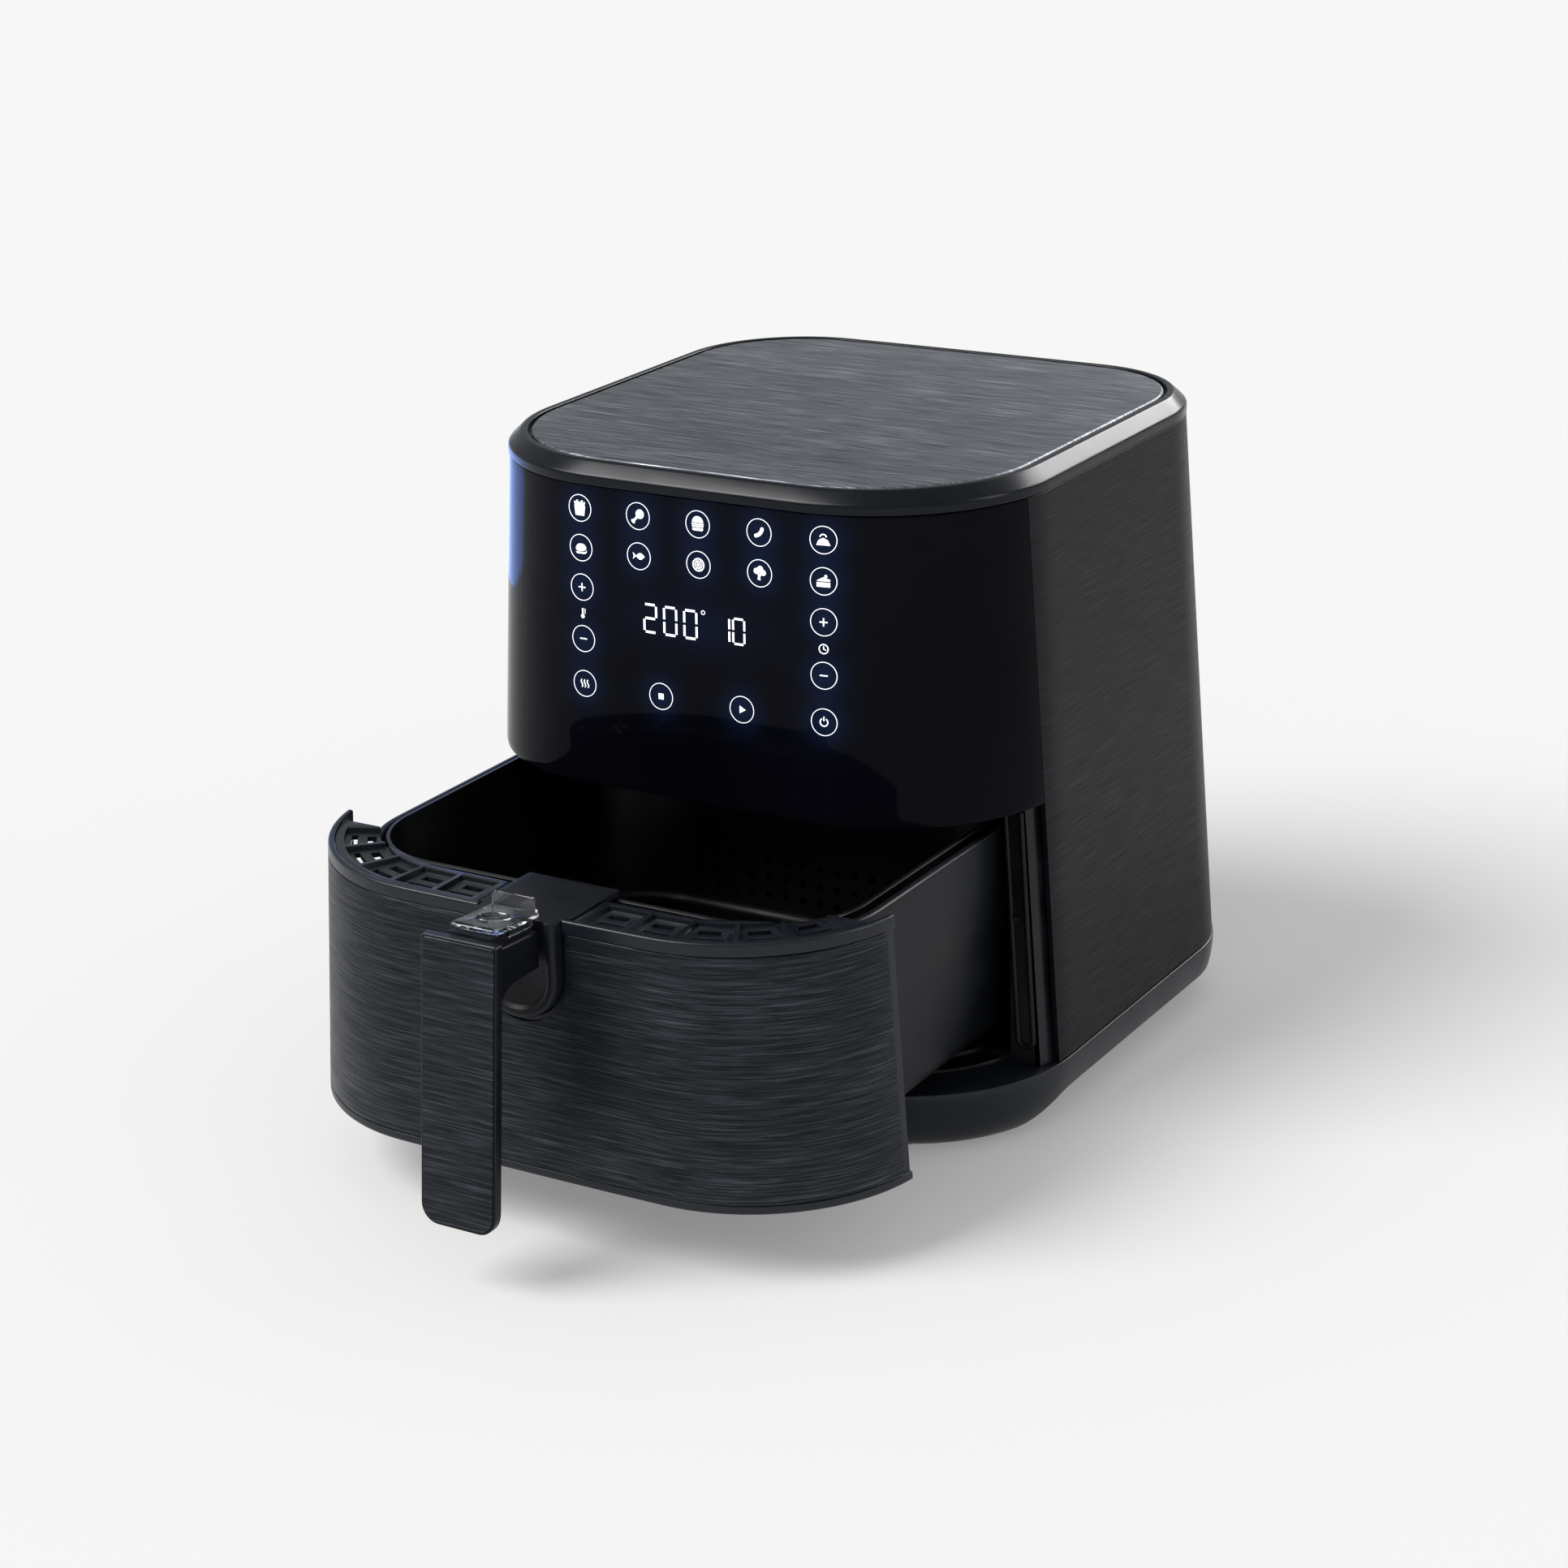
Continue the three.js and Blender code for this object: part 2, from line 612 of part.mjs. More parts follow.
const cavityBlock = (inset, z0, z1) =>
  loft([
    { z: z0, ring: cavityRing(inset) },
    { z: z1, ring: cavityRing(inset) },
  ]);

// Sheet-metal cooking chamber, open at the front and, under the dome, at the top.
function cavityLiner() {
  const outer = cavityBlock(0, CAVITY_FLOOR - SHEET, CAVITY_TOP + SHEET);
  return cut(outer, [
    cavityBlock(SHEET, CAVITY_FLOOR, CAVITY_TOP),
    slice(-FAR, CAVITY_FRONT),
    rod("z", DOME_RADIUS - 2, CAVITY_TOP - 1, FAR, [0, FAN_Y], 40),
    rod("z", 2.6, CAVITY_TOP - 1, FAR, SENSOR_AT, 12),
  ]);
}

// Rail on the cavity's side wall that carries the pan's rim.
function runner(side) {
  const inner = side * (PAN_HALF + RUN);
  const outer = side * (CAVITY_HALF - GAP);
  const rear = PAN_REAR - PAN_CORNER;
  const top = PAN_TOP - 1.6 - RUN;
  return box(Math.min(inner, outer), Math.max(inner, outer), CAVITY_FRONT, rear, top - 5, top);
}

const terminalPlaces = [
  [DOME_RADIUS - 22, FAN_Y],
  [-(DOME_RADIUS - 22), FAN_Y],
];

// Round cover over the heater, with holes for the shaft and the heater's two ends.
function heatDome() {
  const r = DOME_RADIUS;
  const wall = [
    [r + 6, DOME_BASE],
    [r + 6, DOME_BASE + SHEET],
    [r + SHEET, DOME_BASE + SHEET],
    [r - 6, DOME_TOP - 4],
    [r - 10, DOME_TOP],
    [SHAFT_RADIUS + 2, DOME_TOP],
    [SHAFT_RADIUS + 2, DOME_TOP - SHEET],
    [r - 10 - SHEET / 2, DOME_TOP - SHEET],
    [r - 6 - SHEET, DOME_TOP - 4 - SHEET / 2],
    [r, DOME_BASE],
  ];
  const holes = terminalPlaces.map((at) => rod("z", COIL_TUBE + 2, DOME_BASE, FAR, at, 16));
  return cut(spin(wall, [0, FAN_Y], 32), holes);
}

part(housing, "cavity_liner", cavityLiner(), darkSteel);
part(housing, "runner_left", runner(-1), darkSteel);
part(housing, "runner_right", runner(1), darkSteel);
part(housing, "heat_dome", heatDome(), greySteel);

// ---------------------------------------------------------------- heater, guard, sensor, cut-out

const COIL_Z = DOME_BASE + 9;
const COIL_OUTER = DOME_RADIUS - 22;
const COIL_INNER = COIL_OUTER - 26;

// Flat spiral element whose two ends turn up through the dome.
function heaterCoil() {
  const points = [];
  const turns = 2.5;
  const steps = 44;
  const up = (x) => [DOME_TOP + 10, DOME_TOP - 8, COIL_Z + 8].map((z) => new THREE.Vector3(x, FAN_Y, z));
  points.push(...up(COIL_OUTER));
  for (let i = 1; i < steps; i++) {
    const share = i / steps;
    const angle = share * turns * 2 * Math.PI;
    const radius = COIL_OUTER - (COIL_OUTER - COIL_INNER) * share;
    points.push(new THREE.Vector3(radius * Math.cos(angle), FAN_Y + radius * Math.sin(angle), COIL_Z));
  }
  const last = terminalPlaces[1][0];
  points.push(...up(last).reverse());
  return tube(new THREE.CatmullRomCurve3(points, false, "centripetal"), COIL_TUBE, 84, 8);
}

// Wire guard under the heater: rings on a cross of bars.
function heaterGuard() {
  const z = CAVITY_TOP - 2.5;
  const reach = DOME_RADIUS - 6;
  const ring = (r) =>
    spin(
      [
        [r - 1, z],
        [r + 1, z],
        [r + 1, z + 2],
        [r - 1, z + 2],
      ],
      [0, FAN_Y],
      20,
    );
  const bar = (angle) => {
    const geometry = new THREE.BoxGeometry(2 * reach, 2, 2);
    return solid(geometry.rotateZ(angle).translate(0, FAN_Y, z + 1));
  };
  const rings = [1, 0.7, 0.4].map((share) => ring(reach * share - 1));
  return join([...rings, bar(Math.PI / 4), bar(-Math.PI / 4)]);
}

function temperatureSensor() {
  const [x, y] = SENSOR_AT;
  const collar = CAVITY_TOP + SHEET + GAP;
  return spin(
    [
      [0, BASKET_RIM + 2.5],
      [2, BASKET_RIM + 2.5],
      [2, collar],
      [5, collar],
      [5, collar + 6],
      [0, collar + 6],
    ],
    [x, y],
    16,
  );
}

// Disc thermostat that rests on the dome.
function thermalCutout() {
  const z = DOME_TOP + GAP;
  const profile = [
    [0, z],
    [8, z],
    [8, z + 5],
    [4, z + 9],
    [0, z + 9],
  ];
  return spin(profile, [0, FAN_Y - DOME_RADIUS + 24], 24);
}

part(housing, "heater_coil", heaterCoil(), greySteel);
part(housing, "heater_guard", heaterGuard(), greySteel);
part(housing, "temperature_sensor", temperatureSensor(), greySteel);
part(housing, "thermal_cutout", thermalCutout(), satinBlack);

// ---------------------------------------------------------------- motor, fans, electronics

function motorBracket() {
  const top = MOTOR_BASE - GAP;
  const plate = spin(
    [
      [SHAFT_RADIUS + 2, top - 2],
      [MOTOR_RADIUS + 10, top - 2],
      [MOTOR_RADIUS + 10, top],
      [SHAFT_RADIUS + 2, top],
    ],
    [0, FAN_Y],
    32,
  );
  const legs = [0, 1, 2, 3].map((i) => {
    const angle = (i + 0.5) * (Math.PI / 2);
    const reach = MOTOR_RADIUS + 5;
    const at = [reach * Math.cos(angle), FAN_Y + reach * Math.sin(angle)];
    return rod("z", 3, DOME_TOP + GAP, top - 1, at, 12);
  });
  return join([plate, ...legs]);
}

function motorBody() {
  const r = MOTOR_RADIUS;
  return spin(
    [
      [SHAFT_RADIUS + GAP, MOTOR_BASE],
      [r, MOTOR_BASE],
      [r, MOTOR_TOP - 4],
      [r - 8, MOTOR_TOP],
      [SHAFT_RADIUS + GAP, MOTOR_TOP],
    ],
    [0, FAN_Y],
    36,
  );
}

const FAN_TOP = DOME_TOP - 6;
const FAN_BOTTOM = FAN_TOP - FAN_DEPTH;
const COOLING_BOTTOM = MOTOR_TOP + 4;
const COOLING_TOP = COOLING_BOTTOM + 9;

// Hub ring that clamps on the shaft.
const hub = (outer, z0, z1) =>
  spin(
    [
      [SHAFT_RADIUS + 0.3, z0],
      [outer, z0],
      [outer, z1],
      [SHAFT_RADIUS + 0.3, z1],
    ],
    [0, FAN_Y],
    20,
  );

// One fan blade: a thin plate from the hub outwards, pitched and set at an angle round the shaft.
function blade(from, to, height, pitch, angle, z) {
  const plate = new THREE.BoxGeometry(to - from, 1.2, height);
  plate.rotateX(pitch).translate((from + to) / 2, 0, 0);
  return solid(plate.rotateZ(angle).translate(0, FAN_Y, z));
}

// Radial fan that drives the hot air: a disc with upright blades on its underside.
function convectionFan() {
  const radius = COIL_OUTER - COIL_TUBE - 6;
  const disc = hub(radius, FAN_TOP - 1.2, FAN_TOP);
  const count = 12;
  const blades = Array.from({ length: count }, (_, i) =>
    blade(18, radius - 1, FAN_DEPTH, 0, (i * 2 * Math.PI) / count, FAN_TOP - FAN_DEPTH / 2 - 0.4),
  );
  return join([disc, hub(10, FAN_BOTTOM, FAN_TOP), ...blades]);
}

function coolingFan() {
  const count = 9;
  const middle = (COOLING_BOTTOM + COOLING_TOP) / 2;
  const blades = Array.from({ length: count }, (_, i) =>
    blade(9, COOLING_FAN_RADIUS, 9, Math.PI / 3.4, (i * 2 * Math.PI) / count, middle),
  );
  return join([hub(11, COOLING_BOTTOM, COOLING_TOP), ...blades]);
}

const BOARD_Z = MOTOR_BASE + 2;
const BOARD_REAR = CAVITY_REAR + 12;

const powerBoard = () => box(-42, 42, BOARD_REAR - 40, BOARD_REAR, BOARD_Z, BOARD_Z + 1.6);

function heatSink() {
  const base = BOARD_Z + 1.6 + GAP;
  const front = BOARD_REAR - 34;
  const rear = BOARD_REAR - 6;
  const plate = box(-36, -12, front, rear, base, base + 3);
  const fins = [0, 1, 2, 3, 4].map((i) => {
    const x = -36 + i * 5.6;
    return box(x, x + 1.6, front, rear, base + 2, base + 18);
  });
  return join([plate, ...fins]);
}

function terminalBlock() {
  const x = CORD_X;
  const y = CAVITY_REAR + SHEET + RUN;
  const base = BASE_TOP + GAP;
  const block = box(x - 16, x + 16, y, y + 7, base, base + 14);
  const screws = [-10, 0, 10].map((dx) => rod("z", 2.4, base + 4, FAR, [x + dx, y + 3.5], 12));
  return cut(block, screws);
}

part(housing, "motor_bracket", motorBracket(), greySteel);
part(housing, "motor_body", motorBody(), darkSteel);
part(housing, "power_board", powerBoard(), circuitGreen);
part(housing, "heat_sink", heatSink(), greySteel);
part(housing, "terminal_block", terminalBlock(), satinBlack);
const shaft = rod("z", SHAFT_RADIUS, FAN_BOTTOM - 3, COOLING_TOP + 3, [0, FAN_Y]);
part(rotor, "motor_shaft", shaft, greySteel);
part(rotor, "convection_fan", convectionFan(), greySteel);
part(rotor, "cooling_fan", coolingFan(), satinBlack);

// ---------------------------------------------------------------- drawer: pan

// Rings of the pan and, further in, of the basket. Both lean in towards their floors.
function panRing(z, inset) {
  const lean = PAN_LEAN * (PAN_TOP - z);
  return roundedRing({
    half: PAN_HALF - lean - inset,
    front: PAN_FRONT + lean + inset,
    rear: PAN_REAR - lean - inset,
    frontRadius: PAN_CORNER - inset,
  });
}

const panBlock = (inset, z0, z1) =>
  loft([
    { z: z0, ring: panRing(z0, inset) },
    { z: z1, ring: panRing(z1, inset) },
  ]);

const PAN_SCREW_X = halfAt(DRAWER_TOP) - FRONT_CORNER - 2.4;
const PAN_SCREW_Z = (DRAWER_BOTTOM + DRAWER_TOP) / 2;
const panFrontAt = (z) => PAN_FRONT + PAN_LEAN * (PAN_TOP - z);

// Bare container for crumbs and fat, with a rim that rides on the runners.
function pan() {
  const rim = panBlock(-PAN_RIM_WIDTH, PAN_TOP - 1.6, PAN_TOP);
  const holes = [-1, 1].map((side) =>
    rod("y", 2.4, PAN_FRONT - 2, PAN_FRONT + 20, [side * PAN_SCREW_X, PAN_SCREW_Z], 12),
  );
  return cut(panBlock(0, PAN_BOTTOM, PAN_TOP).add(rim), [
    panBlock(SHEET, PAN_BOTTOM + SHEET, PAN_TOP + 1),
    ...holes,
  ]);
}

part(drawer, "pan", pan(), coatedBlack);

// ---------------------------------------------------------------- drawer: front shell and skin

const SHELL_INNER = WRAP_INSET + DRAWER_WALL;
const SHELL_END = SEAM - RUN;
const SKIN_BOTTOM = DRAWER_BOTTOM + 4;
const SKIN_TOP = DRAWER_TOP - 6;
const SKIN_SIDE = 5;
const shellInnerAt = (z) => frontAt(z) + SHELL_INNER;

// Front view of the handle's U-shaped cut: straight sides, round bottom, open at the top.
function cutOutline(half, bottom, top) {
  return [[half, top], ...arc(0, bottom + half, half, 0, -Math.PI, 14), [-half, top]];
}

const throughFront = (outline) => slabY(outline, -DEPTH, shellInnerAt(DRAWER_TOP) + 8);

// Moulded shell round the drawer's front, recessed for the metal skin, with bosses for the pan.
function drawerFront() {
  const shell = bodyShell(WRAP_INSET, DRAWER_WALL, DRAWER_BOTTOM, DRAWER_TOP);
  const recess = bodyShell(WRAP_INSET - 1, 1 + SKIN + GAP, SKIN_BOTTOM, SKIN_TOP);
  const bosses = [-1, 1].map((side) => {
    const at = [side * PAN_SCREW_X, PAN_SCREW_Z];
    const from = shellInnerAt(PAN_SCREW_Z) - 1;
    const boss = rod("y", 5, from, panFrontAt(PAN_SCREW_Z) - GAP, at, 16);
    return boss.subtract(rod("y", 2, from + 5, FAR, at, 12));
  });
  const front = cut(shell, [
    slice(SHELL_END, FAR),
    recess.subtract(slice(SHELL_END - SKIN_SIDE, FAR)),
    throughFront(cutOutline(CUT_HALF, CUT_BOTTOM, FAR)),
  ]);
  return join([front, ...bosses]);
}

function frontSkin() {
  const sheet = bodyShell(WRAP_INSET, SKIN, SKIN_BOTTOM + GAP, SKIN_TOP - GAP);
  return cut(sheet, [
    slice(SHELL_END - SKIN_SIDE - GAP, FAR),
    throughFront(cutOutline(CUT_HALF + 2, CUT_BOTTOM - 2, FAR)),
  ]);
}

function panScrew(side) {
  const at = [side * PAN_SCREW_X, PAN_SCREW_Z];
  const seat = panFrontAt(PAN_SCREW_Z) + SHEET + GAP;
  return rod("y", 1.7, seat - 10, seat + 1, at, 12).add(rod("y", 3.6, seat, seat + 2, at, 12));
}

part(drawer, "drawer_front", drawerFront(), satinBlack);
part(drawer, "front_skin", frontSkin(), brushedBlack);
part(drawer, "pan_screw_left", panScrew(-1), greySteel);
part(drawer, "pan_screw_right", panScrew(1), greySteel);

// ---------------------------------------------------------------- drawer: vent grilles

const GRILLE_OUTER = SHELL_INNER + GAP;
const GRILLE_END = FRAME_FRONT - 1.5;
const GRILLE_BOTTOM = PAN_TOP + GAP;
const GRILLE_TOP = DRAWER_TOP - 1.2;
const GRILLE_INNER_END = NECK_PLATE_HALF + 1.5;

// A walk along the right half of the drawer's front, from the middle to the side. It returns a
// function that gives the point at a share of the grille's length, at any inset.
function grilleWalk() {
  const rightHalf = FRONT_STEPS / 2 + CORNER_STEPS + 1;
  const path = (inset) => bodyRing(GRILLE_TOP, inset).slice(-rightHalf);
  const middle = path(GRILLE_OUTER + GRILLE_WIDTH / 2);
  const stops = [];
  let length = 0;
  for (let i = 0; i < middle.length - 1; i++) {
    const [x0, y0] = middle[i];
    const [x1, y1] = middle[i + 1];
    for (let step = 0; step < 20; step++) {
      const share = step / 20;
      const x = x0 + (x1 - x0) * share;
      const y = y0 + (y1 - y0) * share;
      const inside = x > GRILLE_INNER_END + 3 && y < GRILLE_END - 3;
      if (inside) stops.push({ i, share, length });
      if (inside) length += Math.hypot(x1 - x0, y1 - y0) / 20;
    }
  }
  return (share, inset) => {
    const stop = stops.find((one) => one.length >= share * stops.at(-1).length) ?? stops.at(-1);
    const [x0, y0] = path(inset)[stop.i];
    const [x1, y1] = path(inset)[stop.i + 1];
    return [x0 + (x1 - x0) * stop.share, y0 + (y1 - y0) * stop.share];
  };
}

// A patch of the grille between two shares of its length and two depths from its outer edge.
function grillePatch(walk, side, [from, to], [near, far], z0, z1) {
  const shares = [0, 0.25, 0.5, 0.75, 1].map((share) => from + (to - from) * share);
  const edge = (depth) => shares.map((share) => walk(share, GRILLE_OUTER + depth));
  const loop = [...edge(near), ...edge(far).reverse()];
  const outline = loop.map(([x, y]) => new THREE.Vector2(side * x, y));
  const settings = { depth: z1 - z0, bevelEnabled: false };
  return solid(new THREE.ExtrudeGeometry(new THREE.Shape(outline), settings).translate(0, 0, z0));
}

// Moulding between the drawer's front and the pan: a row of sunken cells with vent slots.
function grille(side) {
  const outer = bodySolid(GRILLE_OUTER, GRILLE_BOTTOM, GRILLE_TOP);
  const inner = bodySolid(GRILLE_OUTER + GRILLE_WIDTH, GRILLE_BOTTOM - 1, GRILLE_TOP + 1);
  const reach = side > 0 ? [GRILLE_INNER_END, FAR] : [-FAR, -GRILLE_INNER_END];
  const band = cut(outer.intersect(box(...reach, -FAR, GRILLE_END, 0, FAR)), [
    inner,
    panBlock(SHEET + BASKET_SPACE - 4, GRILLE_BOTTOM - 1, GRILLE_TOP + 1),
  ]);
  const walk = grilleWalk();
  const cuts = [];
  for (let cell = 0; cell < GRILLE_CELLS; cell++) {
    const from = (cell + 0.06) / GRILLE_CELLS;
    const to = (cell + 0.94) / GRILLE_CELLS;
    const trim = 0.18 / GRILLE_CELLS;
    const sunk = GRILLE_TOP - 1.6;
    const floor = GRILLE_BOTTOM - 1;
    cuts.push(grillePatch(walk, side, [from, to], [4, GRILLE_WIDTH - 4], sunk, FAR));
    cuts.push(grillePatch(walk, side, [from + trim, to - trim], [7, 10], floor, FAR));
    cuts.push(grillePatch(walk, side, [from + trim, to - trim], [15, 19], floor, FAR));
  }
  return cut(band, cuts);
}

part(drawer, "grille_left", grille(-1), satinBlack);
part(drawer, "grille_right", grille(1), satinBlack);

// ---------------------------------------------------------------- basket

const basketBlock = (inset, z0, z1) => panBlock(SHEET + BASKET_SPACE + inset, z0, z1);
const basketFrontAt = (z) => panFrontAt(z) + SHEET + BASKET_SPACE;
const BASKET_HALF = PAN_HALF - SHEET - BASKET_SPACE;
const BASKET_MIDDLE = (PAN_FRONT + PAN_REAR) / 2;
const HANDLE_SCREW_X = 13;
const HANDLE_SCREW_Z = BASKET_RIM - 6;

// Vent holes through the basket's floor and slots low in its walls.
function basketHoles() {
  const holes = [];
  const depthHalf = (PAN_REAR - PAN_FRONT) / 2 - SHEET - BASKET_SPACE;
  const pitch = 30;
  const columns = Math.floor((BASKET_HALF - 26) / pitch);
  const rows = Math.floor((depthHalf - 26) / pitch);
  for (let column = -columns; column <= columns; column++) {
    for (let row = -rows; row <= rows; row++) {
      const at = [column * pitch, BASKET_MIDDLE + row * pitch];
      holes.push(rod("z", 5, BASKET_FLOOR - 1, BASKET_FLOOR + 4, at, 6));
    }
  }
  for (let column = -columns + 1; column < columns; column++) {
    const x = column * pitch;
    holes.push(box(x - 2.5, x + 2.5, -FAR, FAR, BASKET_FLOOR + 12, BASKET_FLOOR + 32));
  }
  for (let row = -rows + 1; row < rows; row++) {
    const y = BASKET_MIDDLE + row * pitch;
    holes.push(box(-FAR, FAR, y - 2.5, y + 2.5, BASKET_FLOOR + 12, BASKET_FLOOR + 32));
  }
  return holes;
}

function basket() {
  const rim = basketBlock(-1.5, BASKET_RIM - 1.4, BASKET_RIM);
  const walls = basketBlock(0, BASKET_FLOOR, BASKET_RIM);
  const tabRoom = box(-21.5, 21.5, -FAR, basketFrontAt(BASKET_RIM), 0, FAR);
  const screwHoles = [-1, 1].map((side) => {
    const at = [side * HANDLE_SCREW_X, HANDLE_SCREW_Z];
    return rod("y", 2, -FAR, BASKET_MIDDLE, at, 12);
  });
  return cut(walls.add(rim.subtract(tabRoom)), [
    basketBlock(SHEET, BASKET_FLOOR + SHEET, BASKET_RIM + 1),
    ...basketHoles(),
    ...screwHoles,
  ]);
}

// Silicone foot under each corner of the basket, on the pan's floor.
function bumper(sideX, sideY) {
  const x = sideX * (BASKET_HALF - PAN_CORNER + 10);
  const y = BASKET_MIDDLE + sideY * ((PAN_REAR - PAN_FRONT) / 2 - PAN_CORNER + 4);
  const from = PAN_BOTTOM + SHEET + GAP;
  const to = BASKET_FLOOR - GAP;
  return spin(
    [
      [0, from],
      [6, from],
      [7, from + 2],
      [7, to],
      [0, to],
    ],
    [x, y],
    16,
  );
}

part(basketGroup, "basket", basket(), coatedBlack);
let bumperNumber = 0;
for (const sideX of [-1, 1]) {
  for (const sideY of [-1, 1]) {
    bumperNumber += 1;
    part(basketGroup, `basket_bumper_${bumperNumber}`, bumper(sideX, sideY), rubberBlack);
  }
}

// ---------------------------------------------------------------- handle

const FACE_TOP_Y = frontAt(HANDLE_TOP) - HANDLE_REACH;
const faceY = (z) => FACE_TOP_Y + HANDLE_LEAN * (z - HANDLE_TOP);
const NECK_FRONT = FACE_TOP_Y + 10;
const BLOCK_FRONT = frontAt(CUT_BOTTOM + CUT_HALF) - 5;
const BLOCK_REAR = BLOCK_FRONT + 26;
const BLOCK_TOP = DRAWER_TOP - GAP;
const NECK_REAR = BLOCK_FRONT - GAP;
const NECK_UNDER = HANDLE_TOP - 24;
const NECK_FILLET = 16;
const HOUSING_HALF = GUARD_HALF - 1.3;
const housingTop = (y) => HANDLE_TOP - GUARD_SLOPE * (y - NECK_FRONT) - 0.4;
const shoulder = (y) => housingTop(y) - 4;

// Latch geometry: the lever turns on a pin inside the block that sits in the drawer's cut.
const PIN_Y = BLOCK_FRONT + 8.2;
const PIN_Z = NECK_UNDER + 2.5;
const PIN_RADIUS = 1.5;
const LEVER_HALF = 3;
const SLOT_HALF = LEVER_HALF + 1.2;
const BUTTON_Y = PIN_Y - 22;
const BUTTON_HALF_LENGTH = 8;
const BUTTON_HALF = HOUSING_HALF - 2.9;
const WELL_FLOOR = NECK_UNDER + 2;
const ARM_TOP = WELL_FLOOR + 6;
const STEM_Y = PIN_Y - 18.5;
const HOOK_FRONT = PIN_Y + 3;
const CATCH_REAR = PIN_Y + 6.4;
const CATCH_BOTTOM = CUT_BOTTOM - 8;
const HOOK_TOP = CATCH_BOTTOM - 3.6;

// Front view of the handle: square at the top, rounded at the bottom.
function handleOutline() {
  const half = HANDLE_WIDTH / 2;
  const radius = 9;
  const low = HANDLE_BOTTOM + radius;
  return [
    [half, HANDLE_TOP],
    ...arc(half - radius, low, radius, 0, -Math.PI / 2, 6),
    ...arc(-half + radius, low, radius, -Math.PI / 2, -Math.PI, 6),
    [-half, HANDLE_TOP],
  ];
}

// An upright bar behind the handle's leaning face, with the given plan at every height.
function leaningBar(plan) {
  const ring = (z) => plan.map(([x, depth]) => [x, faceY(z) + depth]);
  const low = HANDLE_BOTTOM - 1;
  const bar = loft([
    { z: low, ring: ring(low) },
    { z: HANDLE_TOP, ring: ring(HANDLE_TOP) },
  ]);
  return bar.intersect(slabY(handleOutline(), -FAR, 0));
}

function handleSkin() {
  const half = HANDLE_WIDTH / 2;
  return leaningBar([
    [-half, 0],
    [half, 0],
    [half, 1],
    [-half, 1],
  ]);
}

// Grip and neck in one moulding, with the button's well and the slot for the latch lever.
function handleGrip() {
  const half = HANDLE_WIDTH / 2;
  const front = 1 + GAP;
  const stem = leaningBar([
    [-half, front],
    [half, front],
    [half, 4.5],
    [half - 7, HANDLE_THICK + 1],
    [7 - half, HANDLE_THICK + 1],
    [-half, 4.5],
  ]);
  const filletZ = NECK_UNDER - NECK_FILLET;
  const back = faceY(filletZ) + HANDLE_THICK;
  const neck = slabX(
    [
      [NECK_FRONT - 4, shoulder(NECK_FRONT)],
      [NECK_REAR, shoulder(NECK_REAR)],
      [NECK_REAR, NECK_UNDER],
      ...arc(back + NECK_FILLET, filletZ, NECK_FILLET, Math.PI / 2, Math.PI, 7),
      [back - 4, filletZ - 2],
    ].reverse(),
    -NECK_HALF,
    NECK_HALF,
  );
  const housing = slabX(
    [
      [NECK_FRONT - 2, shoulder(NECK_FRONT) - 2],
      [NECK_REAR, shoulder(NECK_REAR) - 2],
      [NECK_REAR, housingTop(NECK_REAR)],
      [NECK_FRONT - 2, housingTop(NECK_FRONT)],
    ],
    -HOUSING_HALF,
    HOUSING_HALF,
  );
  const wellLength = BUTTON_HALF_LENGTH + RUN;
  const wellHalf = BUTTON_HALF + RUN;
  return cut(join([stem, neck, housing]), [
    box(-wellHalf, wellHalf, BUTTON_Y - wellLength, BUTTON_Y + wellLength, WELL_FLOOR, FAR),
    box(-SLOT_HALF, SLOT_HALF, BUTTON_Y, FAR, WELL_FLOOR, ARM_TOP + 2.5),
  ]);
}

// Block that sits in the drawer's cut, with the plate that carries the basket's rim.
function handleBracket() {
  const outline = cutOutline(CUT_HALF - RUN, CUT_BOTTOM + RUN, BLOCK_TOP);
  const block = slabY(outline, BLOCK_FRONT, BLOCK_REAR);
  const tabRear = basketFrontAt(BASKET_RIM) - GAP;
  const plate = box(
    -NECK_PLATE_HALF,
    NECK_PLATE_HALF,
    shellInnerAt(DRAWER_TOP) + 1.6,
    tabRear + 2.4,
    BASKET_RIM + GAP,
    BLOCK_TOP,
  );
  const tab = box(-20, 20, tabRear - 2, tabRear, BASKET_RIM - 12, BLOCK_TOP);
  const screwHoles = [-1, 1].map((side) =>
    rod("y", 2, tabRear - 3, FAR, [side * HANDLE_SCREW_X, HANDLE_SCREW_Z], 12),
  );
  return cut(join([block, plate, tab]), [
    box(-SLOT_HALF, SLOT_HALF, PIN_Y - 4.6, BLOCK_REAR - 3, 0, BLOCK_TOP - 8),
    box(-SLOT_HALF, SLOT_HALF, PIN_Y, FAR, 0, PIN_Z - 10),
    box(-SLOT_HALF, SLOT_HALF, -FAR, PIN_Y, WELL_FLOOR, ARM_TOP + 2.5),
    rod("x", PIN_RADIUS + 0.3, -9.5, 9.5, [PIN_Y, PIN_Z], 16),
    ...screwHoles,
  ]);
}

function handleScrew(side) {
  const at = [side * HANDLE_SCREW_X, HANDLE_SCREW_Z];
  const seat = basketFrontAt(HANDLE_SCREW_Z) + SHEET + GAP;
  return rod("y", 1.6, seat - 3.8, seat + 1, at, 12).add(rod("y", 3.8, seat, seat + 2, at, 12));
}

part(basketGroup, "handle_grip", handleGrip(), satinBlack);
part(basketGroup, "handle_skin", handleSkin(), brushedBlack);
part(basketGroup, "handle_bracket", handleBracket(), satinBlack);
part(basketGroup, "handle_screw_left", handleScrew(-1), greySteel);
part(basketGroup, "handle_screw_right", handleScrew(1), greySteel);

// ---------------------------------------------------------------- button, guard and latch

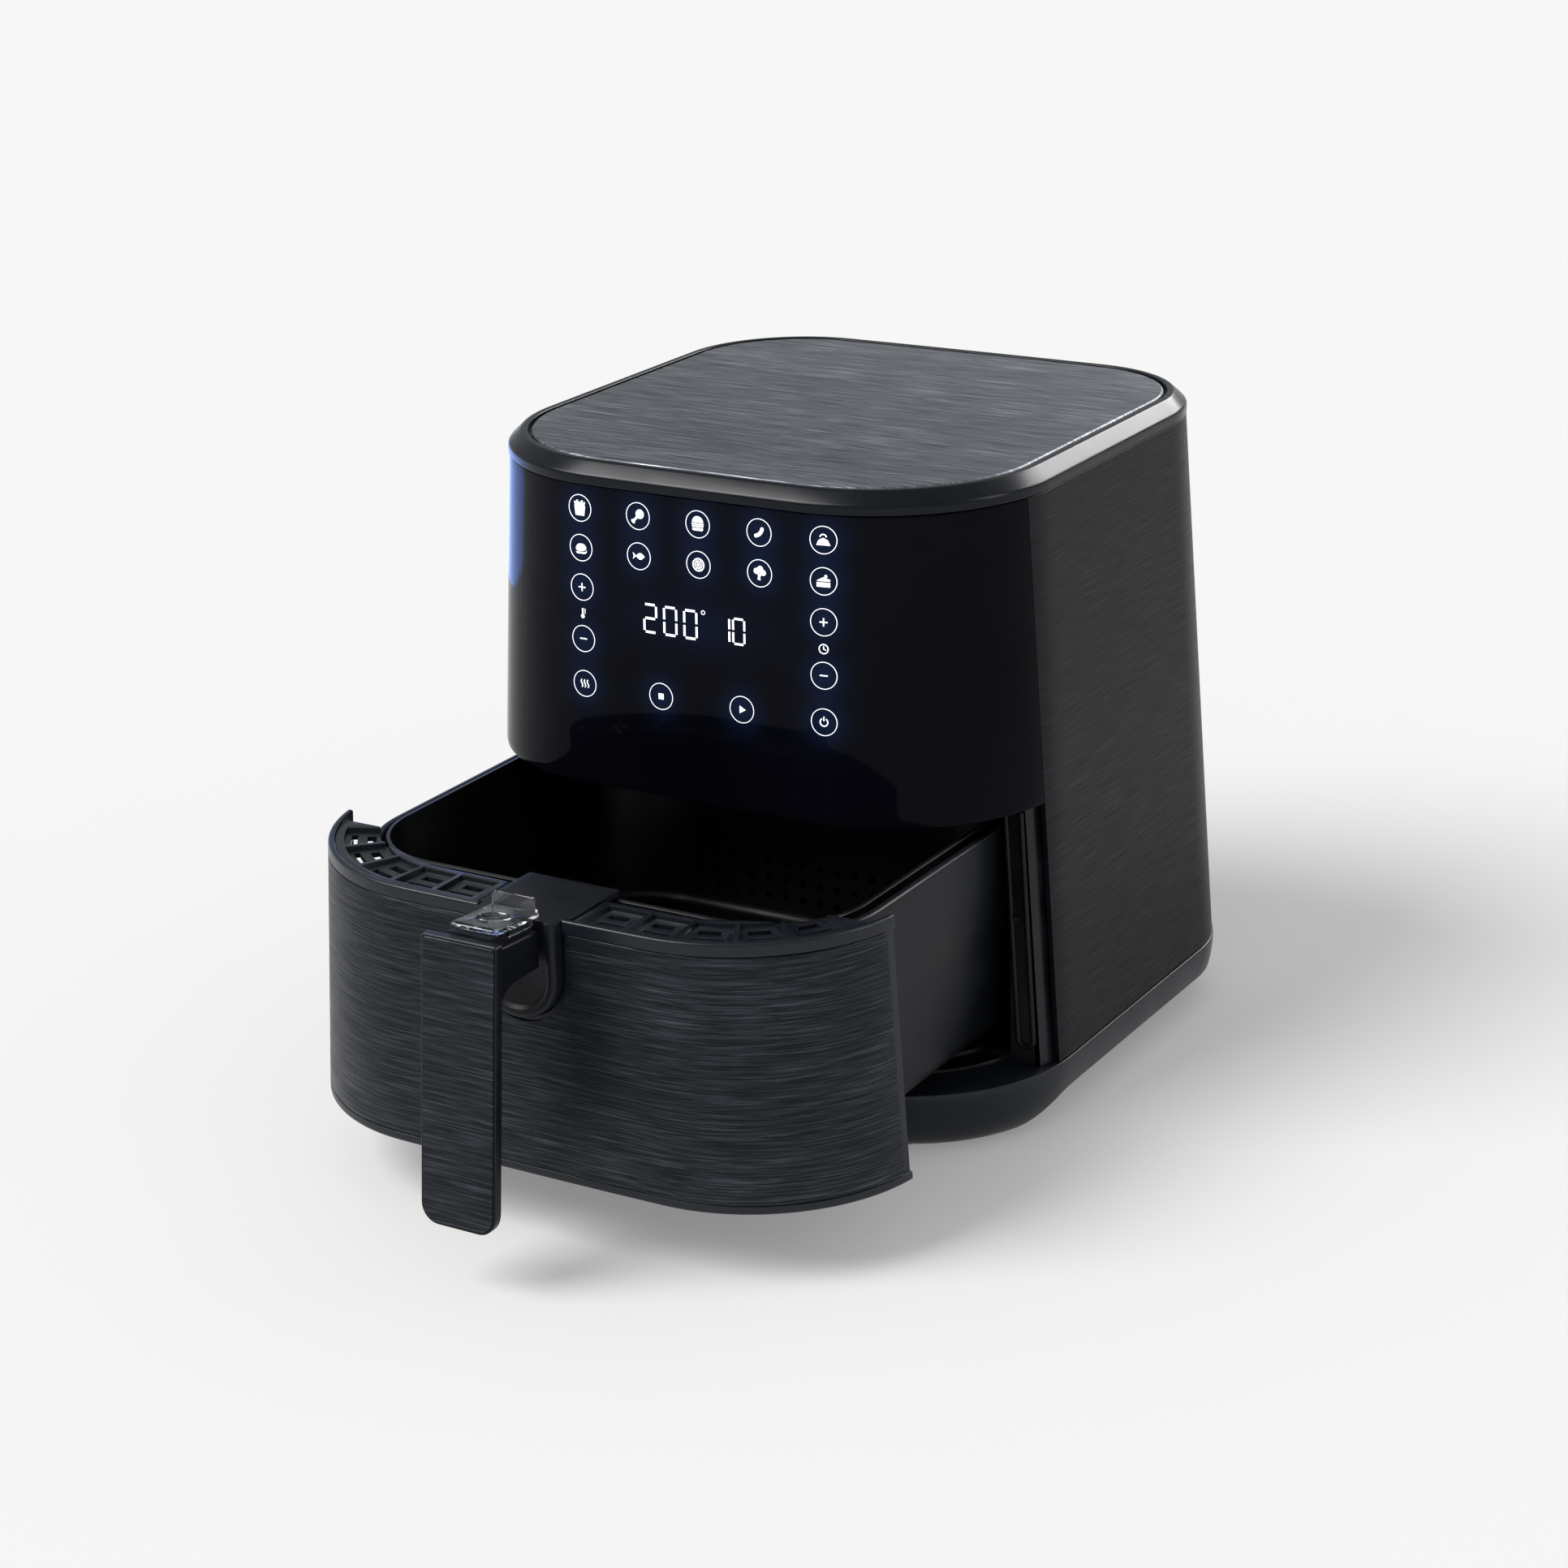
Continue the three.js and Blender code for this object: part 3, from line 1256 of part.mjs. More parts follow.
// Release button: a cap under the guard, with a stem that stands on the lever's front arm.
function releaseButton() {
  const front = BUTTON_Y - BUTTON_HALF_LENGTH;
  const rear = BUTTON_Y + BUTTON_HALF_LENGTH;
  const capBottom = housingTop(BUTTON_Y) - 8;
  const cap = slabX(
    [
      [front, capBottom],
      [rear, capBottom],
      [rear, housingTop(rear) - 0.3],
      [front, housingTop(front) - 0.3],
    ],
    -BUTTON_HALF,
    BUTTON_HALF,
  );
  return cap.add(box(-2.6, 2.6, STEM_Y - 2, STEM_Y + 2, ARM_TOP + GAP, capBottom + 1));
}

// Return spring between the well's floor and the button's cap, in front of the stem.
function releaseSpring() {
  const from = WELL_FLOOR + GAP + 0.5;
  const to = housingTop(BUTTON_Y) - 8 - GAP - 0.5;
  const turns = 5;
  const points = Array.from({ length: turns * 8 + 1 }, (_, i) => {
    const angle = (i / 8) * 2 * Math.PI;
    const z = from + ((to - from) * i) / (turns * 8);
    return new THREE.Vector3(2.4 * Math.cos(angle), BUTTON_Y - 4.4 + 2.4 * Math.sin(angle), z);
  });
  return tube(new THREE.CatmullRomCurve3(points), 0.4, turns * 8, 6);
}

// Clear cover that slides forward to bare the button: a plate with a round dish, skirts that
// run along the button's housing, and an upright flange at the rear.
function buttonGuard() {
  const front = NECK_FRONT + 1;
  const rear = NECK_REAR + GUARD_OVERHANG;
  const skirtFront = NECK_FRONT + GUARD_TRAVEL + RUN;
  const under = (y) => housingTop(y) + GAP;
  const sheet = (y0, y1, low, high, half) =>
    slabX(
      [
        [y0, under(y0) + low],
        [y1, under(y1) + low],
        [y1, under(y1) + high],
        [y0, under(y0) + high],
      ],
      -half,
      half,
    );
  const plate = sheet(front, rear, 0, 2.6, GUARD_HALF);
  const flange = sheet(rear - 1.6, rear, 0, 8.5, GUARD_HALF - 1);
  const skirts = cut(sheet(skirtFront, NECK_REAR - GAP, -3, 1, GUARD_HALF), [
    sheet(front, rear, -4, 0.2, HOUSING_HALF + GAP),
  ]);
  const dishZ = under((front + rear) / 2) + 1.3;
  const dish = rod("z", 8.5, dishZ, FAR, [0, (front + rear) / 2 - 1], 28);
  return join([cut(plate, [dish]), flange, skirts]);
}

// Lever that the button tips: its lower end hooks under the drawer's catch.
function latchLever() {
  const outline = [
    [STEM_Y - 2.5, ARM_TOP - 2],
    [PIN_Y - 4, ARM_TOP - 2.4],
    [PIN_Y - 3.4, PIN_Z - 2],
    [PIN_Y + 2, PIN_Z - 8],
    [CATCH_REAR + 0.6, PIN_Z - 22],
    [CATCH_REAR + 0.6, HOOK_TOP],
    [HOOK_FRONT, HOOK_TOP],
    [HOOK_FRONT, HOOK_TOP - 2],
    [CATCH_REAR - 0.6, HOOK_TOP - 4.5],
    [CATCH_REAR + 4.4, HOOK_TOP - 4.5],
    [CATCH_REAR + 4.4, PIN_Z - 20],
    [PIN_Y + 5, PIN_Z - 4],
    [PIN_Y + 3.6, PIN_Z + 3],
    [PIN_Y, ARM_TOP],
    [STEM_Y - 2.5, ARM_TOP],
  ];
  const body = slabX(outline, -LEVER_HALF, LEVER_HALF);
  return body.subtract(rod("x", PIN_RADIUS + 0.3, -5, 5, [PIN_Y, PIN_Z], 16));
}

// Ledge inside the drawer's front that the lever's hook is held under.
function latchCatch() {
  const front = shellInnerAt(CATCH_BOTTOM) + GAP;
  return box(-9, 9, front, CATCH_REAR, CATCH_BOTTOM, CATCH_BOTTOM + 5);
}

part(basketGroup, "release_button", releaseButton(), satinBlack);
part(basketGroup, "release_spring", releaseSpring(), greySteel);
part(basketGroup, "button_guard", buttonGuard(), clearPlastic);
part(basketGroup, "latch_lever", latchLever(), satinBlack);
const latchPin = rod("x", PIN_RADIUS, -9, 9, [PIN_Y, PIN_Z], 16);
part(basketGroup, "latch_pin", latchPin, greySteel);
part(drawer, "latch_catch", latchCatch(), satinBlack);

// ---------------------------------------------------------------- origin

// The footprint's middle is on the origin, and the feet stand on Z = 0.
fryer.updateMatrixWorld(true);
const bounds = new THREE.Box3().setFromObject(fryer, true);
fryer.position.y = -(bounds.min.y + bounds.max.y) / 2;

export default fryer;
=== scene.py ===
"""Looks of a drawer-style air fryer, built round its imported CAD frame.

Metres, +Z up, front towards -Y, with the drawer standing open as in the frame. The outer shells are
rebuilt here as smooth pieces on the housing's leaning outline; the inner parts keep their CAD shape.
"""

import math

import bmesh
import bpy
from mathutils import Matrix, Vector


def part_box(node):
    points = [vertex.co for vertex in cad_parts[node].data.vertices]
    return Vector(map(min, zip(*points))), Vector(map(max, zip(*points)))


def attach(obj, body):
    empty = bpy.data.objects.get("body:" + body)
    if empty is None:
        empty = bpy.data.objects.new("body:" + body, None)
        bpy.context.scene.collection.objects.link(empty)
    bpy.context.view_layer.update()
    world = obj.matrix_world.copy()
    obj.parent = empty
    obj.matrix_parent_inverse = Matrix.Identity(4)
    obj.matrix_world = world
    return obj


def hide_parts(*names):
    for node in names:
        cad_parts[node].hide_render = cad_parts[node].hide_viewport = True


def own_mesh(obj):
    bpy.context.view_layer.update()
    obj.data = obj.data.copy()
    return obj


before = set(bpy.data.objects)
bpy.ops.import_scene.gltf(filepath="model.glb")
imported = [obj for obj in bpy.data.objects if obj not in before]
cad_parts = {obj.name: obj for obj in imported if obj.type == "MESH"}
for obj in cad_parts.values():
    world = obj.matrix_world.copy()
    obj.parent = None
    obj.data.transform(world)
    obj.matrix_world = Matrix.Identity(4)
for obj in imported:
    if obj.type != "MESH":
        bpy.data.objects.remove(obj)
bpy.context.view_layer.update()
scene = bpy.context.scene
MM = 0.001
GAP = 0.4 * MM  # between pieces that are fixed together
RUN = 0.8 * MM  # between pieces that move past each other
SHEET = 0.8 * MM  # the pan's, basket's and cavity's metal
BASKET_SPACE = 4.8 * MM  # from the pan's outside to the basket's

# ---------------------------------------------------------------- the housing's outline, from the frame

base_low, base_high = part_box("base_tray")
wrap_low, wrap_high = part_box("side_wrap")
panel_low, panel_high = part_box("front_panel")
ring_low, ring_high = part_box("top_ring")
plate_low, plate_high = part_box("top_plate")
mould_low, mould_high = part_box("front_frame")
shell_low, shell_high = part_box("drawer_front")
skin_low, skin_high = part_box("front_skin")
grille_low, grille_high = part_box("grille_right")
pan_low, pan_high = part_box("pan")
basket_low, basket_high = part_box("basket")

SIDE_LEAN = 0.054
FRONT_LEAN = 0.028
REAR_LEAN = 0.03
FRONT_CORNER = 85 * MM
REAR_CORNER = 66 * MM
FRONT_BOW = 3.5 * MM
REAR_BOW = 2 * MM
WRAP_INSET = 0.6 * MM
WALL = 3 * MM

HALF = base_high.x + SIDE_LEAN * base_high.z  # half the width at the floor
FRONT = base_low.y - FRONT_LEAN * base_high.z
REAR = base_high.y + REAR_LEAN * base_high.z
MIDDLE = (FRONT + REAR) / 2
SEAM = wrap_low.y
DRAWER_OPEN = FRONT + FRONT_LEAN * shell_low.z + WRAP_INSET - shell_low.y

CORNER_STEPS = 28
FRONT_STEPS = 28
REAR_STEPS = 14
SIDE_STEPS = 10


def outline_steps():
    """The outline as (across, along, cos, sin) steps, anticlockwise from the middle of the front."""
    steps = []
    quarter = math.pi / 2

    def edge(start, end, count, direction):
        for i in range(count):
            share = i / count
            across = start[0] + (end[0] - start[0]) * share
            along = start[1] + (end[1] - start[1]) * share
            steps.append((across, along, *direction))

    def corner(across, along, turn):
        for i in range(CORNER_STEPS):
            angle = (turn + i / CORNER_STEPS) * quarter
            steps.append((across, along, math.cos(angle), math.sin(angle)))

    edge((0, 0), (1, 0), FRONT_STEPS // 2, (0, -1))
    corner(1, 0, 3)
    edge((1, 0), (1, 1), SIDE_STEPS, (1, 0))
    corner(1, 1, 0)
    edge((1, 1), (-1, 1), REAR_STEPS, (0, 1))
    corner(-1, 1, 1)
    edge((-1, 1), (-1, 0), SIDE_STEPS, (-1, 0))
    corner(-1, 0, 2)
    edge((-1, 0), (0, 0), FRONT_STEPS // 2, (0, -1))
    return steps


STEPS = outline_steps()


def outline_point(step, z, inset):
    """The outline's (x, y) at one step, at a height and an inset."""
    across, along, cos, sin = step
    half = HALF - SIDE_LEAN * z - inset
    front = FRONT - MIDDLE + FRONT_LEAN * z + inset
    rear = REAR - MIDDLE - REAR_LEAN * z - inset
    front_radius = FRONT_CORNER - inset
    rear_radius = REAR_CORNER - inset
    radius = rear_radius if along > 0.5 else front_radius
    x = across * (half - radius) + cos * radius
    y = front + front_radius + along * (rear - rear_radius - front - front_radius) + sin * radius
    bow = FRONT_BOW if y < 0 else REAR_BOW
    y -= bow * (x / half) ** 2 * y / ((REAR - FRONT) / 2)
    return (x, MIDDLE + y)


def outline(z, inset):
    return [outline_point(step, z, inset) for step in STEPS]


def mix(a, b, share):
    return tuple(p + (q - p) * share for p, q in zip(a, b))


def stretch(points, inside):
    """The one stretch of a closed outline where inside(x, y) >= 0, cut exactly at its ends."""
    values = [inside(*p) for p in points]
    count = len(points)

    def cut_at(outer, inner):
        out, held = 0.0, 1.0
        for _ in range(24):
            middle = (out + held) / 2
            if inside(*mix(points[outer], points[inner], middle)) < 0:
                out = middle
            else:
                held = middle
        return mix(points[outer], points[inner], held)

    start = next(i for i in range(count) if values[i] < 0 <= values[(i + 1) % count])
    i = (start + 1) % count
    kept = [cut_at(start, i)]
    while values[i] >= 0:
        kept.append(points[i])
        i = (i + 1) % count
    kept.append(cut_at(i, i - 1))
    return kept


def resample(points, count):
    """The same line with `count` points at even distances."""
    lengths = [0.0]
    for a, b in zip(points, points[1:]):
        lengths.append(lengths[-1] + math.dist(a, b))
    made = []
    at = 0
    for i in range(count):
        target = lengths[-1] * i / (count - 1)
        while at < len(points) - 2 and lengths[at + 1] < target:
            at += 1
        span = lengths[at + 1] - lengths[at]
        share = 0 if span < 1e-12 else (target - lengths[at]) / span
        made.append(mix(points[at], points[at + 1], min(1.0, share)))
    return made


# ---------------------------------------------------------------- mesh forms


def arc(cx, cy, radius, start, end, steps):
    angles = [start + (end - start) * i / steps for i in range(steps + 1)]
    return [(cx + radius * math.cos(a), cy + radius * math.sin(a)) for a in angles]


def rectangle(a0, a1, b0, b1):
    return [(a0, b0), (a1, b0), (a1, b1), (a0, b1)]


def rounded(points, radii, steps=4):
    """A closed outline with its corners rounded. `radii` is one radius, or one for each point."""
    made = []
    count = len(points)
    for i, corner in enumerate(points):
        radius = radii[i] if isinstance(radii, (list, tuple)) else radii
        before, after = points[i - 1], points[(i + 1) % count]
        to_before = min(radius, math.dist(corner, before) * 0.49)
        to_after = min(radius, math.dist(corner, after) * 0.49)
        if radius <= 0:
            made.append(corner)
            continue
        start = mix(corner, before, to_before / math.dist(corner, before))
        end = mix(corner, after, to_after / math.dist(corner, after))
        for k in range(steps + 1):
            t = k / steps
            made.append(mix(mix(start, corner, t), mix(corner, end, t), t))
    return made


class Form:
    """Points, faces and a (u, v) in metres for each point, of one or more closed bodies."""

    def __init__(self):
        self.points, self.faces, self.uvs = [], [], []

    def add(self, points, faces, uvs=None):
        base = len(self.points)
        self.points += [tuple(p) for p in points]
        self.faces += [tuple(base + i for i in face) for face in faces]
        self.uvs += uvs or [(p[0], p[2]) for p in points]
        return self

    def grid(self, rows, wrap_rows=False, wrap_columns=False, caps=(), uvs=None):
        """Quads between rows of points. caps holds 'rows' or 'columns' to close those two ends."""
        wide, tall = len(rows[0]), len(rows)
        at = lambda row, column: (row % tall) * wide + column % wide
        faces = [
            (at(r, c), at(r, c + 1), at(r + 1, c + 1), at(r + 1, c))
            for r in range(tall if wrap_rows else tall - 1)
            for c in range(wide if wrap_columns else wide - 1)
        ]
        if "rows" in caps:
            faces.append(tuple(at(0, c) for c in reversed(range(wide))))
            faces.append(tuple(at(tall - 1, c) for c in range(wide)))
        if "columns" in caps:
            faces.append(tuple(at(r, 0) for r in range(tall)))
            faces.append(tuple(at(r, wide - 1) for r in reversed(range(tall))))
        return self.add([p for row in rows for p in row], faces, uvs)


def lengths_along(points):
    total = [0.0]
    for a, b in zip(points, points[1:]):
        total.append(total[-1] + math.dist(a, b))
    return [t - total[-1] / 2 for t in total]


def band(form, section, inside, count, shift=0.0):
    """A shell along one stretch of the outline: `section` is its closed (z, inset) outline."""
    rows, uvs = [], []
    for z, inset in section:
        line = resample(stretch(outline(z, inset), inside), count)
        rows.append([(x, y - shift, z) for x, y in line])
        uvs += [(u, z) for u in lengths_along(line)]
    return form.grid(rows, wrap_rows=True, caps=("columns",), uvs=uvs)


def loop(form, section):
    """A shell round the whole outline, from a closed (z, inset) section."""
    rows = [[(x, y, z) for x, y in outline(z, inset)] for z, inset in section]
    return form.grid(rows, wrap_rows=True, wrap_columns=True)


def stack(form, levels):
    """A solid between closed level outlines: (z, [(x, y), ...]) pairs."""
    rows = [[(x, y, z) for x, y in points] for z, points in levels]
    return form.grid(rows, wrap_columns=True, caps=("rows",))


def layered(form, layers, place):
    """A solid between flat outlines of (a, b) points; place(a, b, depth) says where each point is."""
    rows = [[place(a, b, depth) for a, b in points] for depth, points in layers]
    return form.grid(rows, wrap_columns=True, caps=("rows",))


def block(form, low, high):
    """A plain box from two corners, with sharp edges; only the bracket's boxes are rounded later by
    soften().
    """
    (x0, y0, z0), (x1, y1, z1) = low, high
    return stack(form, [(z, rectangle(x0, x1, y0, y1)) for z in (z0, z1)])


def lathe(form, profile, at, sides=48, axis="z"):
    """A closed (radius, height) profile turned about an upright or a fore-and-aft axis at (a, b)."""
    rows = []
    for radius, height in profile:
        circle = arc(at[0], at[1], max(radius, 1e-6), 0, 2 * math.pi, sides)[:-1]
        rows.append([(a, b, height) if axis == "z" else (a, height, b) for a, b in circle])
    closed = profile[0][0] > 1e-6
    return form.grid(rows, wrap_rows=closed, wrap_columns=True, caps=() if closed else ("rows",))


def tube(form, points, radius, sides=10):
    """A round bar along a line of points."""
    points = [Vector(p) for p in points]
    rows = []
    side = None
    for i, point in enumerate(points):
        ahead = (points[min(i + 1, len(points) - 1)] - points[max(i - 1, 0)]).normalized()
        if side is None:
            side = ahead.orthogonal().normalized()
        side = (side - ahead * side.dot(ahead)).normalized()
        other = ahead.cross(side)
        turn = [2 * math.pi * k / sides for k in range(sides)]
        rows.append([point + (side * math.cos(a) + other * math.sin(a)) * radius for a in turn])
    return form.grid(rows, wrap_columns=True, caps=("rows",))


# ---------------------------------------------------------------- pieces


def object_of(name, form):
    mesh = bpy.data.meshes.new(name)
    mesh.from_pydata(form.points, [], form.faces)
    layer = mesh.uv_layers.new(name="surface")
    for corner in mesh.loops:
        layer.data[corner.index].uv = form.uvs[corner.vertex_index]
    work = bmesh.new()
    work.from_mesh(mesh)
    bmesh.ops.recalc_face_normals(work, faces=work.faces)
    work.to_mesh(mesh)
    work.free()
    made = bpy.data.objects.new(name, mesh)
    scene.collection.objects.link(made)
    return made


def settle(made):
    """Applies the object's modifiers."""
    bpy.context.view_layer.update()
    evaluated = made.evaluated_get(bpy.context.evaluated_depsgraph_get())
    mesh = bpy.data.meshes.new_from_object(evaluated)
    made.modifiers.clear()
    made.data = mesh
    return made


def combine(made, form, operation="DIFFERENCE"):
    """Cuts the form out of the object, or joins it on."""
    boolean(made, object_of("tool", form), operation, operation == "UNION")


def boolean(made, tool, operation, use_self=False):
    """Cuts another object out of this one, or joins it on, and removes the other object."""
    modifier = made.modifiers.new("combine", "BOOLEAN")
    modifier.operation = operation
    modifier.solver = "EXACT"
    modifier.use_self = use_self
    modifier.object = tool
    settle(made)
    bpy.data.objects.remove(tool)


def soften(made, width, segments=2, angle=35):
    """Rounds every edge sharper than the angle."""
    modifier = made.modifiers.new("soften", "BEVEL")
    modifier.width = width
    modifier.segments = segments
    modifier.limit_method = "ANGLE"
    modifier.angle_limit = math.radians(angle)
    modifier.use_clamp_overlap = True
    return settle(made)


def piece(made, body, look, replaces=(), sharp=32):
    """Finishes an object, or a (name, form) pair: its shading, its look, its body, and hiding the CAD parts
    it replaces.
    """
    if isinstance(made, tuple):
        made = object_of(*made)
    for polygon in made.data.polygons:
        polygon.use_smooth = True
    made.data.set_sharp_from_angle(angle=math.radians(sharp))
    made.data.materials.clear()
    made.data.materials.append(look)
    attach(made, body)
    if replaces:
        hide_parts(*replaces)
    return made


# ---------------------------------------------------------------- materials


class Look:
    """A material with a Principled shader. A node's inputs are values, or other nodes' outputs."""

    def __init__(self, name, **values):
        self.material = bpy.data.materials.new(name)
        self.material.use_nodes = True
        self.tree = self.material.node_tree
        self.shader = self.tree.nodes["Principled BSDF"]
        for key, value in values.items():
            self.shader.inputs[key.replace("_", " ")].default_value = value

    def node(self, kind, inputs=None, output=0, **settings):
        made = self.tree.nodes.new(kind)
        for key, value in settings.items():
            setattr(made, key, value)
        for key, value in (inputs or {}).items():
            if isinstance(value, bpy.types.NodeSocket):
                self.tree.links.new(value, made.inputs[key])
            else:
                made.inputs[key].default_value = value
        return made.outputs[output]

    def feed(self, name, socket):
        self.tree.links.new(socket, self.shader.inputs[name])

    def place(self, uv, scale):
        """Surface (u, v) or object coordinates, scaled along each axis."""
        kind = "ShaderNodeUVMap" if uv else "ShaderNodeTexCoord"
        source = self.node(kind, output=0 if uv else 3)
        return self.node("ShaderNodeVectorMath", {0: source, 1: scale}, operation="MULTIPLY")

    def noise(self, vector, scale=1.0, detail=3.0, roughness=0.55):
        inputs = {"Vector": vector, "Scale": scale, "Detail": detail, "Roughness": roughness}
        return self.node("ShaderNodeTexNoise", inputs)

    def spread(self, value, low, high, to_low=0.0, to_high=1.0):
        """Maps low..high to to_low..to_high, held at the ends."""
        inputs = {"Value": value, 1: low, 2: high, 3: to_low, 4: to_high}
        return self.node("ShaderNodeMapRange", inputs)

    def blend(self, share, dark, light):
        made = self.tree.nodes.new("ShaderNodeMix")
        made.data_type = "RGBA"
        for index, value in ((0, share), (6, dark), (7, light)):
            if isinstance(value, bpy.types.NodeSocket):
                self.tree.links.new(value, made.inputs[index])
            else:
                made.inputs[index].default_value = value if index == 0 else (*value, 1)
        return made.outputs[2]

    def maths(self, operation, a, b):
        return self.node("ShaderNodeMath", {0: a, 1: b}, operation=operation)

    def bump(self, height, strength, distance):
        inputs = {"Height": height, "Strength": strength, "Distance": distance}
        self.feed("Normal", self.node("ShaderNodeBump", inputs))


def brushed(name, dark, light, metallic=0.75, **values):
    """Tinted metal skin brushed along u: hairlines, broader streaks and slow drifts of tone."""
    look = Look(name, Metallic=metallic, **values)
    hair = look.noise(look.place(True, (34, 1250, 1)), detail=4.0, roughness=0.65)
    streak = look.noise(look.place(True, (13, 460, 1)), detail=3.0, roughness=0.6)
    drift = look.noise(look.place(True, (5, 22, 1)), detail=2.0)
    fine = look.spread(hair, 0.42, 0.76)
    broad = look.spread(streak, 0.4, 0.68, 0.3, 1.0)
    slow = look.spread(drift, 0.3, 0.7, 0.5, 1.3)
    tone = look.maths("MULTIPLY", look.maths("MULTIPLY", fine, broad), slow)
    look.feed("Base Color", look.blend(tone, dark, light))
    look.feed("Roughness", look.spread(hair, 0.3, 0.75, 0.52, 0.36))
    look.bump(look.maths("ADD", hair, look.maths("MULTIPLY", streak, 0.6)), 0.2, 0.1 * MM)
    return look.material


def moulded(name, dark, light, rough=(0.36, 0.5), grain=0.1, level=0.2):
    """Satin moulded plastic: fine spark-eroded grain, uneven sheen and convex edges lightened in patches as
    a painted highlight.
    """
    look = Look(name, Specular_IOR_Level=level)
    coordinates = look.place(False, (1, 1, 1))
    fine = look.noise(coordinates, 2600, detail=2.0)
    cloud = look.noise(coordinates, 34, detail=4.0)
    # Painted highlight: pointiness picks out convex edges, and the cloud breaks them into patches that are
    # mixed towards the lighter colour.
    edge_pointiness = look.node("ShaderNodeNewGeometry", output=7)
    painted_edge_highlight = look.maths("MULTIPLY", look.spread(edge_pointiness, 0.52, 0.62), look.spread(cloud, 0.42, 0.66, 0.1, 0.5))
    look.feed("Base Color", look.blend(painted_edge_highlight, dark, light))
    look.feed("Roughness", look.spread(cloud, 0.3, 0.7, rough[0], rough[1]))
    look.bump(fine, grain, 0.06 * MM)
    return look.material


def coated(name, dark, light, rough=(0.34, 0.5), metallic=0.3, speck=0.25, level=0.4):
    """Non-stick coating on sheet metal: tiny flakes and faint cloudiness."""
    look = Look(name, Metallic=metallic, Specular_IOR_Level=level)
    coordinates = look.place(False, (1, 1, 1))
    flakes = look.noise(coordinates, 1500, detail=2.0, roughness=0.7)
    cloud = look.noise(coordinates, 22, detail=5.0)
    bright_flakes = look.spread(flakes, 0.58, 0.76, 0, speck)
    share = look.maths("ADD", bright_flakes, look.spread(cloud, 0.35, 0.7, 0, 0.5))
    look.feed("Base Color", look.blend(share, dark, light))
    look.feed("Roughness", look.spread(cloud, 0.3, 0.7, rough[0], rough[1]))
    look.bump(flakes, 0.16, 0.08 * MM)
    return look.material


def steel(name, dark, light, rough=(0.24, 0.42)):
    """Plain drawn or plated steel with drawing marks along Z and small stains."""
    look = Look(name, Metallic=1.0)
    lines = look.noise(look.place(False, (900, 900, 60)), detail=3.0)
    stain = look.noise(look.place(False, (1, 1, 1)), 60, detail=5.0)
    look.feed("Base Color", look.blend(look.maths("MULTIPLY", lines, stain), dark, light))
    look.feed("Roughness", look.spread(stain, 0.3, 0.7, rough[0], rough[1]))
    look.bump(lines, 0.12, 0.05 * MM)
    return look.material


def rubber(name, dark, light):
    look = Look(name, Specular_IOR_Level=0.3)
    coordinates = look.place(False, (1, 1, 1))
    dust = look.noise(coordinates, 400, detail=6.0, roughness=0.7)
    look.feed("Base Color", look.blend(look.spread(dust, 0.5, 0.8), dark, light))
    look.feed("Roughness", look.spread(dust, 0.3, 0.8, 0.75, 0.95))
    look.bump(dust, 0.3, 0.1 * MM)
    return look.material


def gloss_panel():
    """Polished black acrylic; the lit symbols leave a faint blue halo in it."""
    look = Look("gloss_black_panel", Specular_IOR_Level=0.045)
    haze = look.noise(look.place(False, (1, 1, 1)), 7, detail=4.0)
    tint = look.spread(haze, 0.3, 0.7)
    look.feed("Base Color", look.blend(tint, (0.0016, 0.0018, 0.0036), (0.0034, 0.0038, 0.0072)))
    look.feed("Roughness", look.spread(haze, 0.3, 0.7, 0.03, 0.08))
    halo = look.node("ShaderNodeAttribute", output=2, attribute_name="halo")
    look.feed("Emission Color", look.blend(halo, (0.0, 0.0, 0.0), (0.003, 0.0085, 0.031)))
    look.shader.inputs["Emission Strength"].default_value = 1.0
    return look.material


def lit_symbol():
    look = Look("lit_symbol", Roughness=0.4)
    flicker = look.noise(look.place(False, (1, 1, 1)), 300, detail=2.0)
    look.feed("Base Color", look.blend(flicker, (0.75, 0.78, 0.82), (0.9, 0.92, 0.95)))
    look.feed("Emission Color", look.blend(flicker, (0.86, 0.9, 1.0), (1.0, 1.0, 1.0)))
    look.shader.inputs["Emission Strength"].default_value = 0.95
    return look.material


def clear_plastic():
    """Clear moulded cover with a faintly wavy surface."""
    look = Look("clear_plastic", Transmission_Weight=1.0, IOR=1.46, Specular_IOR_Level=0.6)
    coordinates = look.place(False, (1, 1, 1))
    wave = look.noise(coordinates, 260, detail=2.0)
    look.feed("Base Color", look.blend(wave, (0.9, 0.93, 0.96), (0.97, 0.98, 0.99)))
    look.feed("Roughness", look.spread(wave, 0.3, 0.7, 0.03, 0.1))
    look.bump(wave, 0.25, 0.25 * MM)
    return look.material


def circuit():
    """Green solder mask with paler copper tracks under it."""
    look = Look("circuit_board", Specular_IOR_Level=0.5)
    cells = look.node(
        "ShaderNodeTexBrick",
        {"Vector": look.place(False, (300, 300, 300)), "Scale": 1.0, "Mortar Size": 0.12},
        output=1,
    )
    look.feed("Base Color", look.blend(cells, (0.012, 0.055, 0.025), (0.05, 0.16, 0.07)))
    look.feed("Roughness", look.spread(cells, 0, 1, 0.35, 0.5))
    look.bump(cells, 0.2, 0.05 * MM)
    return look.material


